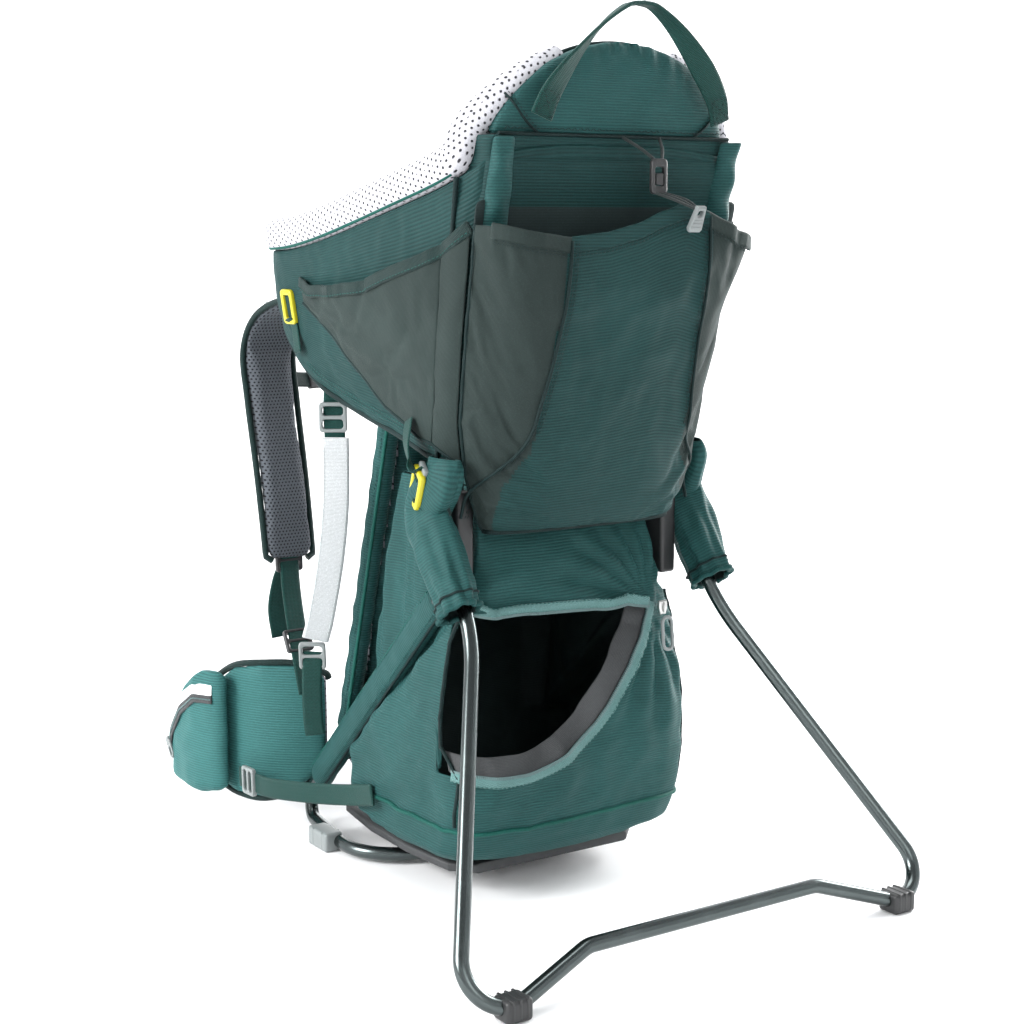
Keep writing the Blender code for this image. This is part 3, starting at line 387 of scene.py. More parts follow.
def grid_mesh(name, rows, closed=False, caps=False, groups=None):
    """A mesh through rows of points, laid out in metres.  groups(i, j) picks each face's material."""
    high, wide = len(rows), len(rows[0])
    mesh = bpy.data.meshes.new(name)
    verts = [p for row in rows for p in row]
    faces = []
    layout = []
    around = [[0.0] for _ in rows]
    for r, row in enumerate(rows):
        for a, b in zip(row, row[1:] + ([row[0]] if closed else [])):
            around[r].append(around[r][-1] + (b - a).length)
    middle = [row_lengths[-1] / 2 for row_lengths in around]
    up = [0.0]
    for a, b in zip(rows, rows[1:]):
        up.append(up[-1] + sum((q - p).length for p, q in zip(a, b)) / wide)
    for j in range(high - 1):
        for i in range(wide if closed else wide - 1):
            k = (i + 1) % wide
            faces.append((j * wide + i, j * wide + k, (j + 1) * wide + k, (j + 1) * wide + i))
            layout.append(((around[j][i] - middle[j], up[j]), (around[j][i + 1] - middle[j], up[j]),
                           (around[j + 1][i + 1] - middle[j + 1], up[j + 1]),
                           (around[j + 1][i] - middle[j + 1], up[j + 1])))
    if caps:
        for j in (0, high - 1):
            faces.append(tuple(j * wide + i for i in range(wide)))
            centre = sum(rows[j], Vector()) / wide
            layout.append(tuple(((p - centre).x, (p - centre).z) for p in rows[j]))
    mesh.from_pydata(verts, [], faces)
    uv = mesh.uv_layers.new(name="UVMap")
    flat = [c for face in layout for point in face for c in point]
    uv.data.foreach_set("uv", flat)
    if groups:
        width = wide if closed else wide - 1
        for n, face in enumerate(mesh.polygons):
            face.material_index = groups(n % width, n // width) if n < width * (high - 1) else 0
    mesh.shade_smooth()
    return mesh


def outward(mesh):
    """Makes a closed mesh face out."""
    work = bmesh.new()
    work.from_mesh(mesh)
    bmesh.ops.recalc_face_normals(work, faces=work.faces)
    work.to_mesh(mesh)
    work.free()
    return mesh


def face_out(piece, centre=(0, -0.03, 0.35)):
    """Turns an open sheet's faces away from the middle of the carrier."""
    mesh = piece.data
    out = sum((f.center - Vector(centre)).dot(f.normal) * f.area for f in mesh.polygons)
    if out < 0:
        mesh.flip_normals()
    return piece


def faces_by(piece, pick):
    """Gives each face the material that pick names from its middle and its normal."""
    for face in piece.data.polygons:
        face.material_index = pick(face.center, face.normal)


def thicken(piece, thickness, offset=-1.0, inner_material=0):
    """Gives a cloth sheet its thickness and rounds it.  Its inner face takes a material that many slots later."""
    solid = piece.modifiers.new("thickness", "SOLIDIFY")
    solid.thickness = thickness
    solid.offset = offset
    solid.material_offset = inner_material
    rounded(piece)


def rounded(piece):
    smooth = piece.modifiers.new("round", "SUBSURF")
    smooth.levels = 1
    smooth.render_levels = 1


def smooth_path(points, per_span=6):
    """A smooth curve through the points."""
    pts = [Vector(p) for p in points]
    ends = [2 * pts[0] - pts[1], *pts, 2 * pts[-1] - pts[-2]]
    made = []
    for a, b, c, d in zip(ends, ends[1:], ends[2:], ends[3:]):
        for i in range(per_span):
            t = i / per_span
            made.append(0.5 * (2 * b + (c - a) * t + (2 * a - 5 * b + 4 * c - d) * t**2
                               + (3 * b - a - 3 * c + d) * t**3))
    return [*made, pts[-1]]


def even_path(path, spacing):
    """The same path with points at equal distances."""
    lengths = [0.0]
    for a, b in zip(path, path[1:]):
        lengths.append(lengths[-1] + (b - a).length)
    count = max(2, round(lengths[-1] / spacing))
    made, k = [], 0
    for i in range(count + 1):
        target = lengths[-1] * i / count
        while k < len(path) - 2 and lengths[k + 1] < target:
            k += 1
        span = lengths[k + 1] - lengths[k]
        made.append(path[k].lerp(path[k + 1], (target - lengths[k]) / span if span else 0))
    return made


def bent_path(points, radii, steps=14):
    """Straight runs between the points, joined by bends of the radii given."""
    pts = [Vector(p) for p in points]
    made = [pts[0]]
    for before, here, after, radius in zip(pts, pts[1:], pts[2:], radii):
        to_a, to_b = (before - here).normalized(), (after - here).normalized()
        half = to_a.angle(to_b) / 2
        centre = here + (to_a + to_b).normalized() * radius / math.sin(half)
        start = here + to_a * radius / math.tan(half) - centre
        axis = start.cross(here + to_b * radius / math.tan(half) - centre).normalized()
        made += [centre + Matrix.Rotation((math.pi - 2 * half) * i / steps, 3, axis) @ start
                 for i in range(steps + 1)]
    return [*made, pts[-1]]


def mirrored(points):
    """The left half's points, followed by their mirror images."""
    return [*points, *[Vector((-p.x, p.y, p.z)) for p in reversed(points) if p.x < -1e-6]]


def flip(points, side):
    """Points given for the right side, placed on the side asked for."""
    return [Vector((side * p[0], p[1] - CENTRE_Y, p[2])) for p in points]


def tangent(path, i):
    return (path[min(i + 1, len(path) - 1)] - path[max(i - 1, 0)]).normalized()


def tube_piece(name, path, radius, mat, body, stands_for=(), sides=20, radii=None):
    """A round tube or cord with closed, rounded ends; radii gives its radius at a share of its length."""
    rows = []
    across = None
    for i, place in enumerate(path):
        along = tangent(path, i)
        if across is None:
            across = along.orthogonal().normalized()
        across = (across - along * across.dot(along)).normalized()
        other = along.cross(across)
        r = radius if radii is None else radii(i / (len(path) - 1))
        rows.append([place + (across * math.cos(math.tau * k / sides) + other * math.sin(math.tau * k / sides)) * r
                     for k in range(sides)])
    mesh = outward(grid_mesh(name, rows, closed=True, caps=True))
    mesh.set_sharp_from_angle(angle=math.radians(50))
    return add_piece(name, mesh, mat, body, stands_for)


def flat_section(width, thickness, bead=0.0, steps=5):
    """Cross-section of a strap: flat with rounded edges, which bead thickens."""
    w, t = width / 2, thickness / 2
    top = []
    for i in range(steps * 2 + 1):
        x = -w + 2 * w * i / (steps * 2)
        lift = t + bead * max(0, 1 - (w - abs(x)) / (w * 0.25)) ** 2
        top.append((x * (1 - 0.02 / steps), lift * (0.35 if abs(abs(x) - w) < 1e-9 else 1)))
    return top + [(x, -z) for x, z in reversed(top)]


def strap_piece(name, path, width, thickness, across, mats, body, stands_for=(), bead=0.0,
                widths=None):
    """A strap along a path.  across is the direction of its width or a function of the share."""
    rows = []
    for i, place in enumerate(path):
        share = i / (len(path) - 1)
        along = tangent(path, i)
        wide = Vector(across(share) if callable(across) else across)
        wide = (wide - along * wide.dot(along)).normalized()
        high = along.cross(wide)
        scale = widths(share) if widths else 1.0
        rows.append([place + wide * x * scale + high * z for x, z in flat_section(width, thickness, bead)])
    return add_piece(name, outward(grid_mesh(name, rows, closed=True, caps=True)), mats, body, stands_for)


def stitch_row(name, path, mat, body, length=0.0024, gap=0.0014, radius=0.00035):
    """A line of separate stitches along a path."""
    path = even_path(path, length + gap)
    verts, faces = [], []
    for i in range(len(path) - 1):
        a = path[i]
        along = (path[i + 1] - a).normalized()
        b = a + along * length
        side = along.orthogonal().normalized()
        other = along.cross(side)
        base = len(verts)
        for place, r in ((a, 0.35), (a.lerp(b, 0.2), 1), (a.lerp(b, 0.8), 1), (b, 0.35)):
            verts += [place + (side * math.cos(math.tau * k / 5) + other * math.sin(math.tau * k / 5)) * radius * r
                      for k in range(5)]
        for j in range(3):
            faces += [(base + 5 * j + k, base + 5 * j + (k + 1) % 5, base + 5 * j + 5 + (k + 1) % 5,
                       base + 5 * j + 5 + k) for k in range(5)]
        faces += [tuple(base + k for k in range(4, -1, -1)), tuple(base + 15 + k for k in range(5))]
    mesh = bpy.data.meshes.new(name)
    mesh.from_pydata(verts, [], faces)
    mesh.uv_layers.new(name="UVMap")
    mesh.shade_smooth()
    return add_piece(name, mesh, mat, body)


def wrinkle(place, scale, seed, stretch=(1, 1, 1)):
    """Soft ridged folds at a point, from -1 to 1."""
    at = Vector((place.x * stretch[0], place.y * stretch[1], place.z * stretch[2])) * scale
    value = noise.noise(at + Vector((seed * 7.1, seed * 3.7, seed)))
    return 1 - 2.6 * abs(value)


def ripple(piece, amount, scale, seed, stretch=(1, 1, 1), weight=None):
    """Moves a sheet's points along their normals by folds."""
    mesh = piece.data
    normals = [v.normal.copy() for v in mesh.vertices]
    for v, normal in zip(mesh.vertices, normals):
        share = weight(v.co) if weight else 1.0
        if share:
            v.co += normal * amount * share * wrinkle(v.co, scale, seed, stretch)
    mesh.update()


def settle(piece, pin, shrink=-0.03, gravity=0.6, pressure=0.0, frames=18, bending=0.3, cap=0.012, stiffness=12):
    """Lets a sheet relax as cloth.  pin gives how firmly each vertex is held; the result is applied."""
    mesh = piece.data
    start = [v.co.copy() for v in mesh.vertices]
    group = piece.vertex_groups.new(name="pin")
    for v in mesh.vertices:
        group.add([v.index], max(0.0, min(1.0, pin(v.index, v.co))), "REPLACE")
    cloth = piece.modifiers.new("cloth", "CLOTH")
    cloth.settings.quality = 6
    cloth.settings.mass = 0.12
    for key in ("tension_stiffness", "compression_stiffness", "shear_stiffness"):
        setattr(cloth.settings, key, stiffness)
    cloth.settings.bending_stiffness = bending
    cloth.settings.air_damping = 3
    cloth.settings.vertex_group_mass = "pin"
    cloth.settings.shrink_min = shrink
    cloth.settings.effector_weights.gravity = gravity
    cloth.collision_settings.use_collision = False
    cloth.collision_settings.use_self_collision = False
    if pressure:
        cloth.settings.use_pressure = True
        cloth.settings.uniform_pressure_force = pressure
    cloth.point_cache.frame_end = frames
    scene = bpy.context.scene
    for number in range(1, frames + 1):
        scene.frame_set(number)
    settled = piece.evaluated_get(bpy.context.evaluated_depsgraph_get()).data
    moved = [v.co.copy() for v in settled.vertices]
    piece.modifiers.remove(cloth)
    piece.vertex_groups.remove(group)
    scene.frame_set(1)
    for v, a, b in zip(mesh.vertices, start, moved):
        step = b - a
        v.co = a + step * min(1.0, cap / step.length) if step.length > 1e-9 else a
    mesh.update()


CUSHION_PRESSURE = 4
CUSHION_FRAMES = 20


def cushion(name, node, mats, body, voxel=0.0045, shrink=0.0012, cap=0.005):
    """A padded piece grown from a node's solid by cloth simulation."""
    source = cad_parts[node]
    mesh = bpy.data.meshes.new_from_object(source.evaluated_get(bpy.context.evaluated_depsgraph_get()))
    mesh.materials.clear()
    mesh.name = name
    piece = bpy.data.objects.new(name, mesh)
    bpy.context.scene.collection.objects.link(piece)
    remesh = piece.modifiers.new("remesh", "REMESH")
    remesh.mode = "VOXEL"
    remesh.voxel_size = voxel
    shrunk = piece.modifiers.new("shrink", "DISPLACE")
    shrunk.strength = -shrink
    shrunk.mid_level = 0.0
    even = piece.modifiers.new("even", "SMOOTH")
    even.factor = 0.6
    even.iterations = 3
    bpy.context.view_layer.update()
    final = bpy.data.meshes.new_from_object(piece.evaluated_get(bpy.context.evaluated_depsgraph_get()))
    piece.modifiers.clear()
    old = piece.data
    piece.data = final
    bpy.data.meshes.remove(old)
    settle(piece, lambda i, p: 0.0, shrink=0.0, gravity=0.0, pressure=CUSHION_PRESSURE, frames=CUSHION_FRAMES,
           cap=cap, bending=1.5, stiffness=20)
    final.shade_smooth()
    for mat in mats if isinstance(mats, (list, tuple)) else [mats]:
        final.materials.append(mat)
    rounded(piece)
    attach(piece, body)
    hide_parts(node)
    return piece


# ---------------------------------------------------------------- small hardware
def rounded_outline(half_w, half_h, radius, steps=6):
    """A rectangle with round corners."""
    made = []
    for cx, cy, start in ((1, 1, 0), (-1, 1, 90), (-1, -1, 180), (1, -1, 270)):
        for i in range(steps + 1):
            a = math.radians(start + 90 * i / steps)
            made.append((cx * (half_w - radius) + radius * math.cos(a),
                         cy * (half_h - radius) + radius * math.sin(a)))
    return made


def placed(right, up, origin):
    """A matrix whose X is right, whose Y is up and whose Z comes out of the plate."""
    x = Vector(right).normalized()
    y = (Vector(up) - x * Vector(up).dot(x)).normalized()
    turn = Matrix((x, y, x.cross(y))).transposed().to_4x4()
    return Matrix.Translation(Vector(origin)) @ turn


def plate(name, outlines, thickness, bevel, mat, matrix, body, stands_for=()):
    """A moulded plate with rounded edges: the first outline, with the others as holes."""
    curve = bpy.data.curves.new(name, "CURVE")
    curve.dimensions = "2D"
    curve.fill_mode = "BOTH"
    curve.extrude = max(thickness / 2 - bevel, 1e-5)
    curve.bevel_depth = bevel
    curve.bevel_resolution = 3
    curve.offset = -bevel
    for outline in outlines:
        spline = curve.splines.new("POLY")
        spline.use_cyclic_u = True
        spline.points.add(len(outline) - 1)
        for point, (x, y) in zip(spline.points, outline):
            point.co = (x, y, 0, 1)
    made = bpy.data.objects.new(name, curve)
    made.matrix_world = matrix
    bpy.context.scene.collection.objects.link(made)
    bpy.context.view_layer.update()
    mesh = bpy.data.meshes.new_from_object(made.evaluated_get(bpy.context.evaluated_depsgraph_get()))
    mesh.transform(matrix)
    bpy.data.objects.remove(made)
    bpy.data.curves.remove(curve)
    mesh.name = name
    mesh.materials.clear()
    mesh.shade_smooth()
    mesh.set_sharp_from_angle(angle=math.radians(38))
    return add_piece(name, mesh, mat, body, stands_for)


def moulding(name, size, bevel, mat, matrix, body, stands_for=(), taper=0.0):
    """A rounded moulded block, narrower at its top by taper."""
    mesh = bpy.data.meshes.new(name)
    work = bmesh.new()
    bmesh.ops.create_cube(work, size=1)
    for v in work.verts:
        if v.co.y > 0:
            v.co.x *= 1 - taper
    bmesh.ops.scale(work, vec=Vector(size), verts=work.verts)
    bmesh.ops.bevel(work, geom=work.edges[:], offset=bevel, segments=4, profile=0.6, affect="EDGES")
    bmesh.ops.transform(work, matrix=matrix, verts=work.verts)
    work.to_mesh(mesh)
    work.free()
    mesh.shade_smooth()
    return add_piece(name, mesh, mat, body, stands_for)


LOCK_THICKNESS = 0.0045


def ladder_lock(name, width, height, bar, mat, matrix, body, stands_for=()):
    """A webbing adjuster: a plate with two slots and a bar between them."""
    slot_h = (height - 3 * bar) / 4
    slots = []
    for centre in (-(slot_h + bar / 2), slot_h + bar / 2):
        slots.append([(x, y + centre) for x, y in rounded_outline(width / 2 - bar, slot_h, slot_h * 0.7)])
    plate(name, [rounded_outline(width / 2, height / 2, bar), *slots], LOCK_THICKNESS, 0.0011, mat, matrix, body,
          stands_for)


# ---------------------------------------------------------------- frame
def floor_path(steps=18):
    top_z = 0.272
    points = [(-RAIL_X, rail_y(top_z), top_z), (-RAIL_X, rail_y(FLOOR_TUBE_Z), FLOOR_TUBE_Z),
              P(-0.129, 0.018, FLOOR_TUBE_Z), P(0, 0.018, FLOOR_TUBE_Z)]
    return mirrored(bent_path(points, (0.018, 0.052), steps))


def upper_path():
    points = [P(-RAIL_X, -0.0865, 0.330), (-RAIL_X, hoop_y(0.385), 0.385), (-0.086, hoop_y(0.655), 0.655),
              (0, hoop_y(0.655), 0.655)]
    return mirrored(bent_path(points, (0.10, 0.042), 18))


def kick_point(x, down):
    return Vector((x, PIVOT.y - down * math.sin(KICK_LEAN), PIVOT.z - down * math.cos(KICK_LEAN)))


def kick_path():
    points = [kick_point(-PIVOT.x, -0.011), kick_point(-PIVOT.x, 0.097), kick_point(-0.2420, 0.3972),
              kick_point(-0.112, 0.3475), kick_point(0, 0.3475)]
    return mirrored(bent_path(points, (0.16, 0.030, 0.03), 20))


def make_frame(m):
    tube_piece("floor_loop_tube", floor_path(), TUBE_R, m["tube"], "frame", ["floor_hoop"], 28)
    tube_piece("panel_hoop_tube", upper_path(), TUBE_R, m["tube"], "frame", ["upper_hoop"], 28)
    back = [(-0.089, back_y(0.084), 0.084), (-0.084, back_y(0.44), 0.44), (0, back_y(0.44), 0.44)]
    tube_piece("back_hoop_tube", mirrored(bent_path(back, (0.045,))), TUBE_R, m["tube"], "frame",
               ["back_hoop"], 28)
    bar = [Vector((s * 0.093, rail_y(0.075), 0.075)) for s in (-1, -0.98, -0.9, 0, 0.9, 0.98, 1)]
    tube_piece("cross_bar_tube", bar, 0.0055, m["tube"], "frame", ["cross_bar"], 24)
    tube_piece("kickstand_tube", kick_path(), TUBE_R, m["tube"], "kickstand", ["kickstand"], 28)
    for end, s in SIDES:
        tip = kick_path()[0 if s < 0 else -1]
        along = (kick_point(s * PIVOT.x, 0.05) - tip).normalized()
        plug = [tip - along * 0.0012, tip - along * 0.0004, tip + along * 0.004]
        tube_piece(f"kickstand_plug_{end}", plug, 0.0061, m["black_plastic"], "kickstand", sides=24,
                   radii=lambda t: 0.0050 if t < 0.2 else 0.0062)
        foot = Matrix.Translation(P(s * 0.1245, 0.100, 0.0086))
        moulding(f"floor_foot_{end}", (0.0176, 0.034, 0.0172), 0.0030, m["grey_plastic"], foot, "frame",
                 [f"hoop_foot_{end}"])
        for k in (-1, 1):
            moulding(f"floor_foot_rib_{end}_{k + 1}", (0.0182, 0.003, 0.0150), 0.0008, m["grey_plastic"],
                     foot @ Matrix.Translation((0, k * 0.008, 0.001)), "frame")
        low = min(kick_path(), key=lambda p: (p.z, abs(p.x - s * 0.19)))
        clip = Matrix.Translation((s * abs(low.x), low.y, 0.0086))
        moulding(f"kickstand_foot_{end}", (0.0222, 0.0205, 0.0170), 0.0036, m["black_plastic"], clip, "kickstand",
                 [f"kickstand_clip_{end}"])
        for k in (-1, 0, 1):
            moulding(f"kickstand_foot_rib_{end}_{k + 1}", (0.0022, 0.0212, 0.0150), 0.0006, m["black_plastic"],
                     clip @ Matrix.Translation((k * 0.0062, 0, 0.0014)), "kickstand")
        centre = P(s * RAIL_X, -0.0865, 0.301)
        moulding(f"rail_joint_{end}", (0.0158, 0.0305, 0.086), 0.0040, m["black_plastic"],
                 Matrix.Translation(centre), "frame", [f"pivot_bracket_{end}"])
        for k in (-1, 1):
            screw = centre + Vector((s * 0.0078, k * 0.004, k * 0.030))
            tube_piece(f"rail_joint_screw_{end}_{k + 1}", [screw, screw + Vector((s * 0.0012, 0, 0))], 0.0030,
                       m["steel"], "frame", sides=20)
        axle = Vector((s * (PIVOT.x + 0.0068), PIVOT.y, PIVOT.z))
        out = Vector((s, 0, 0))
        shank = [axle - out * 0.0300, axle]
        tube_piece(f"kickstand_axle_{end}", shank, 0.0029, m["steel"], "frame", [f"pivot_bolt_{end}"], 20)
        head = [axle, axle + out * 0.0006, axle + out * 0.0032, axle + out * 0.0038]
        tube_piece(f"kickstand_axle_head_{end}", head, 0.0055, m["steel"], "frame", sides=6,
                   radii=lambda t: 0.0056 if 0 < t < 1 else 0.0048)


# ---------------------------------------------------------------- cockpit
# half width, y, share of the outer panel's lean, lower edge and upper edge, from the wearer's middle round
COCKPIT = ((0.000, 0.158, 0.00, 0.498, 0.530), (0.085, 0.158, 0.00, 0.498, 0.530),
           (0.126, 0.152, 0.00, 0.494, 0.530), (0.1425, 0.132, 0.00, 0.455, 0.529),
           (0.1430, 0.090, 0.00, 0.417, 0.532), (0.1390, 0.030, 0.05, 0.397, 0.543),
           (0.1330, -0.040, 0.30, 0.381, 0.561), (0.1275, -0.095, 0.70, 0.370, 0.578),
           (0.1210, -0.123, 0.95, 0.368, 0.592), (0.1050, -0.1325, 1.00, 0.367, 0.604),
           (0.0550, -0.1330, 1.00, 0.367, 0.611), (0.000, -0.1330, 1.00, 0.367, 0.612))
COCKPIT_MIDDLE_Z = 0.5
COCKPIT_LEVELS = 22
FLARE = 0.15               # how much wider the cockpit's sides get for one unit of height
CORNER_STATION = 76        # where the corner seam lies in cockpit_loop()


def interpolate(table, key, column):
    """A column of a table whose first column rises or falls steadily, at a value of that first column."""
    if (table[-1][0] - table[0][0]) * (key - table[0][0]) <= 0:
        return table[0][column]
    for a, b in zip(table, table[1:]):
        if min(a[0], b[0]) <= key <= max(a[0], b[0]):
            return a[column] + (b[column] - a[column]) * (key - a[0]) / (b[0] - a[0])
    return table[-1][column]


def cockpit_stations():
    xy = smooth_path([(r[0], r[1], 0) for r in COCKPIT], 10)
    other = smooth_path([(r[2], r[3], r[4]) for r in COCKPIT], 10)
    return [(a.x, a.y, max(b.x, 0), b.y, b.z) for a, b in zip(xy, other)]


def cockpit_point(row, z, inset=0.0, normal=(0, 0)):
    flare = FLARE * (1 - 0.8 * row[2]) * min(1, row[0] / 0.12)
    x = row[0] + flare * (z - COCKPIT_MIDDLE_Z) - inset * normal[0]
    return P(x, row[1] - row[2] * PANEL_SLOPE * (z - COCKPIT_MIDDLE_Z) - inset * normal[1], z)


def cockpit_normals(rows):
    made = []
    for i in range(len(rows)):
        a, b = rows[max(i - 1, 0)], rows[min(i + 1, len(rows) - 1)]
        along = Vector((b[0] - a[0], b[1] - a[1])).normalized()
        made.append((-along.y, along.x))
    return made


def cockpit_loop():
    """Every station round the cockpit as (row, normal, side), from the wearer's middle, right side first."""
    rows = cockpit_stations()
    normals = cockpit_normals(rows)
    right = [(row, normal, 1) for row, normal in zip(rows, normals)]
    return right + [(row, normal, -1) for row, normal, _ in reversed(right[1:-1])]


def on_side(point, side):
    return Vector((side * point.x, point.y, point.z))


def cockpit_x(y, z):
    """Half width of the cockpit's outer face at a point of its side, y in the design's frame."""
    places = [cockpit_point(row, z) for row in cockpit_stations() if row[0] > 0.11]
    return interpolate([(p.y + CENTRE_Y, p.x) for p in places], y, 1)


def make_cockpit(m):
    loop = cockpit_loop()
    rows = []
    for j in range(COCKPIT_LEVELS + 1):
        share = j / COCKPIT_LEVELS
        ring = []
        for row, normal, side in loop:
            z = row[3] + (row[4] - row[3]) * share
            slack = 0.0022 * math.sin(math.pi * share)
            ring.append(on_side(cockpit_point(row, z, 0.0004 - slack, normal), side))
        rows.append(ring)
    count = len(loop)
    skin = grid_mesh("cockpit_cloth", rows, closed=True)
    # The cockpit's cloth takes the darkened teal: painted shade.
    piece = face_out(add_piece("cockpit_cloth", skin, [m["ripstop_painted_shade"], m["lining_teal"]], "frame",
                               ["cockpit_shell"]))

    def free(place):
        top = 0.5 + 0.12 * (place.z - 0.37) / 0.25
        return max(0.0, math.sin(math.pi * min(1, max(0, (place.z - 0.37) / (top - 0.33)))))

    ripple(piece, 0.0018, 14, 3, (1, 1, 0.5), free)
    ripple(piece, 0.0009, 40, 8, (1, 1, 0.6), free)
    settle(piece, lambda i, p: 1.0 if i < count or i >= COCKPIT_LEVELS * count else 0.35, shrink=-0.012,
           gravity=0.4, frames=10, cap=0.004)
    thicken(piece, 0.0024, -1.0, 1)
    hem = [on_side(cockpit_point(row, row[3] + 0.001, 0.0014, normal), side) for row, normal, side in loop]
    bound_edge("cockpit_hem", [*hem, hem[0]], m["dark_piping"], "frame", 0.0028)
    corner, corner_normal, _ = loop[CORNER_STATION]
    for name, side in SIDES:
        seam = [on_side(cockpit_point(corner, corner[3] + (corner[4] - corner[3]) * k / 24, -0.0012,
                                      corner_normal), side) for k in range(25)]
        bound_edge(f"cockpit_corner_seam_{name}", seam, m["dark_piping"], "frame", 0.0020)
        for offset, level in ((0.010, "a"), (0.0135, "b")):
            row_line = [on_side(cockpit_point(row, row[3] + offset, -0.0017, normal), side)
                        for row, normal, s in loop if s > 0]
            stitch_row(f"hem_stitches_{name}_{level}", row_line, m["thread"], "frame")
    make_rim(m)
    make_side_pockets(m)


def bound_edge(name, path, mat, body, radius):
    """A sewn binding or piping along an edge."""
    return tube_piece(name, path, radius, mat, body, sides=10)


def make_rim(m):
    """The padded mesh band on the rim, from one end of the headrest round to the other."""
    rows = cockpit_stations()
    normals = cockpit_normals(rows)
    half_height = 0.0125
    right = []
    for i, (row, normal) in enumerate(zip(rows, normals)):
        if row[1] > -0.112:
            a, b = rows[max(i - 8, 0)], rows[min(i + 8, len(rows) - 1)]
            slope = (b[4] - a[4]) / math.dist(a[:2], b[:2])
            lift = (half_height + 0.001) * math.sqrt(1 + slope ** 2) + 0.0005
            right.append((cockpit_point(row, row[4], 0.002, normal) + Vector((0, 0, lift)), normal))
    rise = [right[-1][0], P(0.1190, -0.1330, 0.6215), P(0.1060, -0.1420, 0.6400), P(0.0900, -0.1500, 0.6570),
            P(0.0720, -0.1550, 0.6700), P(0.0520, -0.1580, 0.6795)]
    for p in even_path(smooth_path(rise, 8), 0.004)[1:]:
        right.append((p, (0.80, -0.30)))
    path = [(on_side(p, -1), (-n[0], n[1])) for p, n in reversed(right)] + right[1:]
    steps = 20
    verts_rows = []
    for i, (place, normal) in enumerate(path):
        share = i / (len(path) - 1)
        out = Vector((normal[0], normal[1], 0)).normalized()
        end = min(1.0, 0.45 + 5.5 * min(share, 1 - share))
        puff = 1 + 0.05 * noise.noise(place * 26)
        before, after = path[max(i - 1, 0)][0], path[min(i + 1, len(path) - 1)][0]
        along = (after - before).normalized()
        out = (out - along * out.dot(along)).normalized()
        up = along.cross(out)
        up = up if up.z > 0 else -up
        ring = []
        for k in range(steps):
            a = math.tau * k / steps
            wide = 0.0100 * puff * math.copysign(abs(math.cos(a)) ** 0.8, math.cos(a))
            high = 0.0135 * math.copysign(abs(math.sin(a)) ** 0.7, math.sin(a)) * end
            ring.append(place + out * wide * end + up * high)
        verts_rows.append(ring)
    mesh = outward(grid_mesh("rim_band", verts_rows, closed=True, caps=True))
    band = add_piece("rim_band", mesh, m["rim_mesh"], "frame", ["rim_pad"])
    rounded(band)
    for tag, height, out_by in (("lower", -0.0118, 0.0052), ("inner", -0.0118, -0.0052)):
        seam = [place + Vector((normal[0], normal[1], 0)).normalized() * out_by + Vector((0, 0, height))
                for place, normal in path[20:-20]]
        bound_edge(f"rim_binding_{tag}", seam, m["piping"], "frame", 0.0016)


SIDE_POCKET = ((0.086, 0.486, 0.503), (0.065, 0.474, 0.499), (0.032, 0.447, 0.499), (-0.025, 0.406, 0.504),
               (-0.087, 0.384, 0.523), (-0.108, 0.382, 0.532))


def side_pocket_point(u, v, side, by_y, lift=0.0):
    y = SIDE_POCKET[0][0] + (SIDE_POCKET[-1][0] - SIDE_POCKET[0][0]) * u
    low, high = interpolate(SIDE_POCKET, y, 1), interpolate(SIDE_POCKET, y, 2)
    row = [interpolate(by_y, y, column) for column in (1, 2, 3)]
    stand_off = 0.0022 + 0.0105 * math.sin(math.pi * u) ** 0.7 * v + lift
    place = cockpit_point(row, low + (high - low) * v)
    return Vector((side * (place.x + stand_off + 0.0012), place.y - stand_off * 0.4 * u ** 3, place.z))


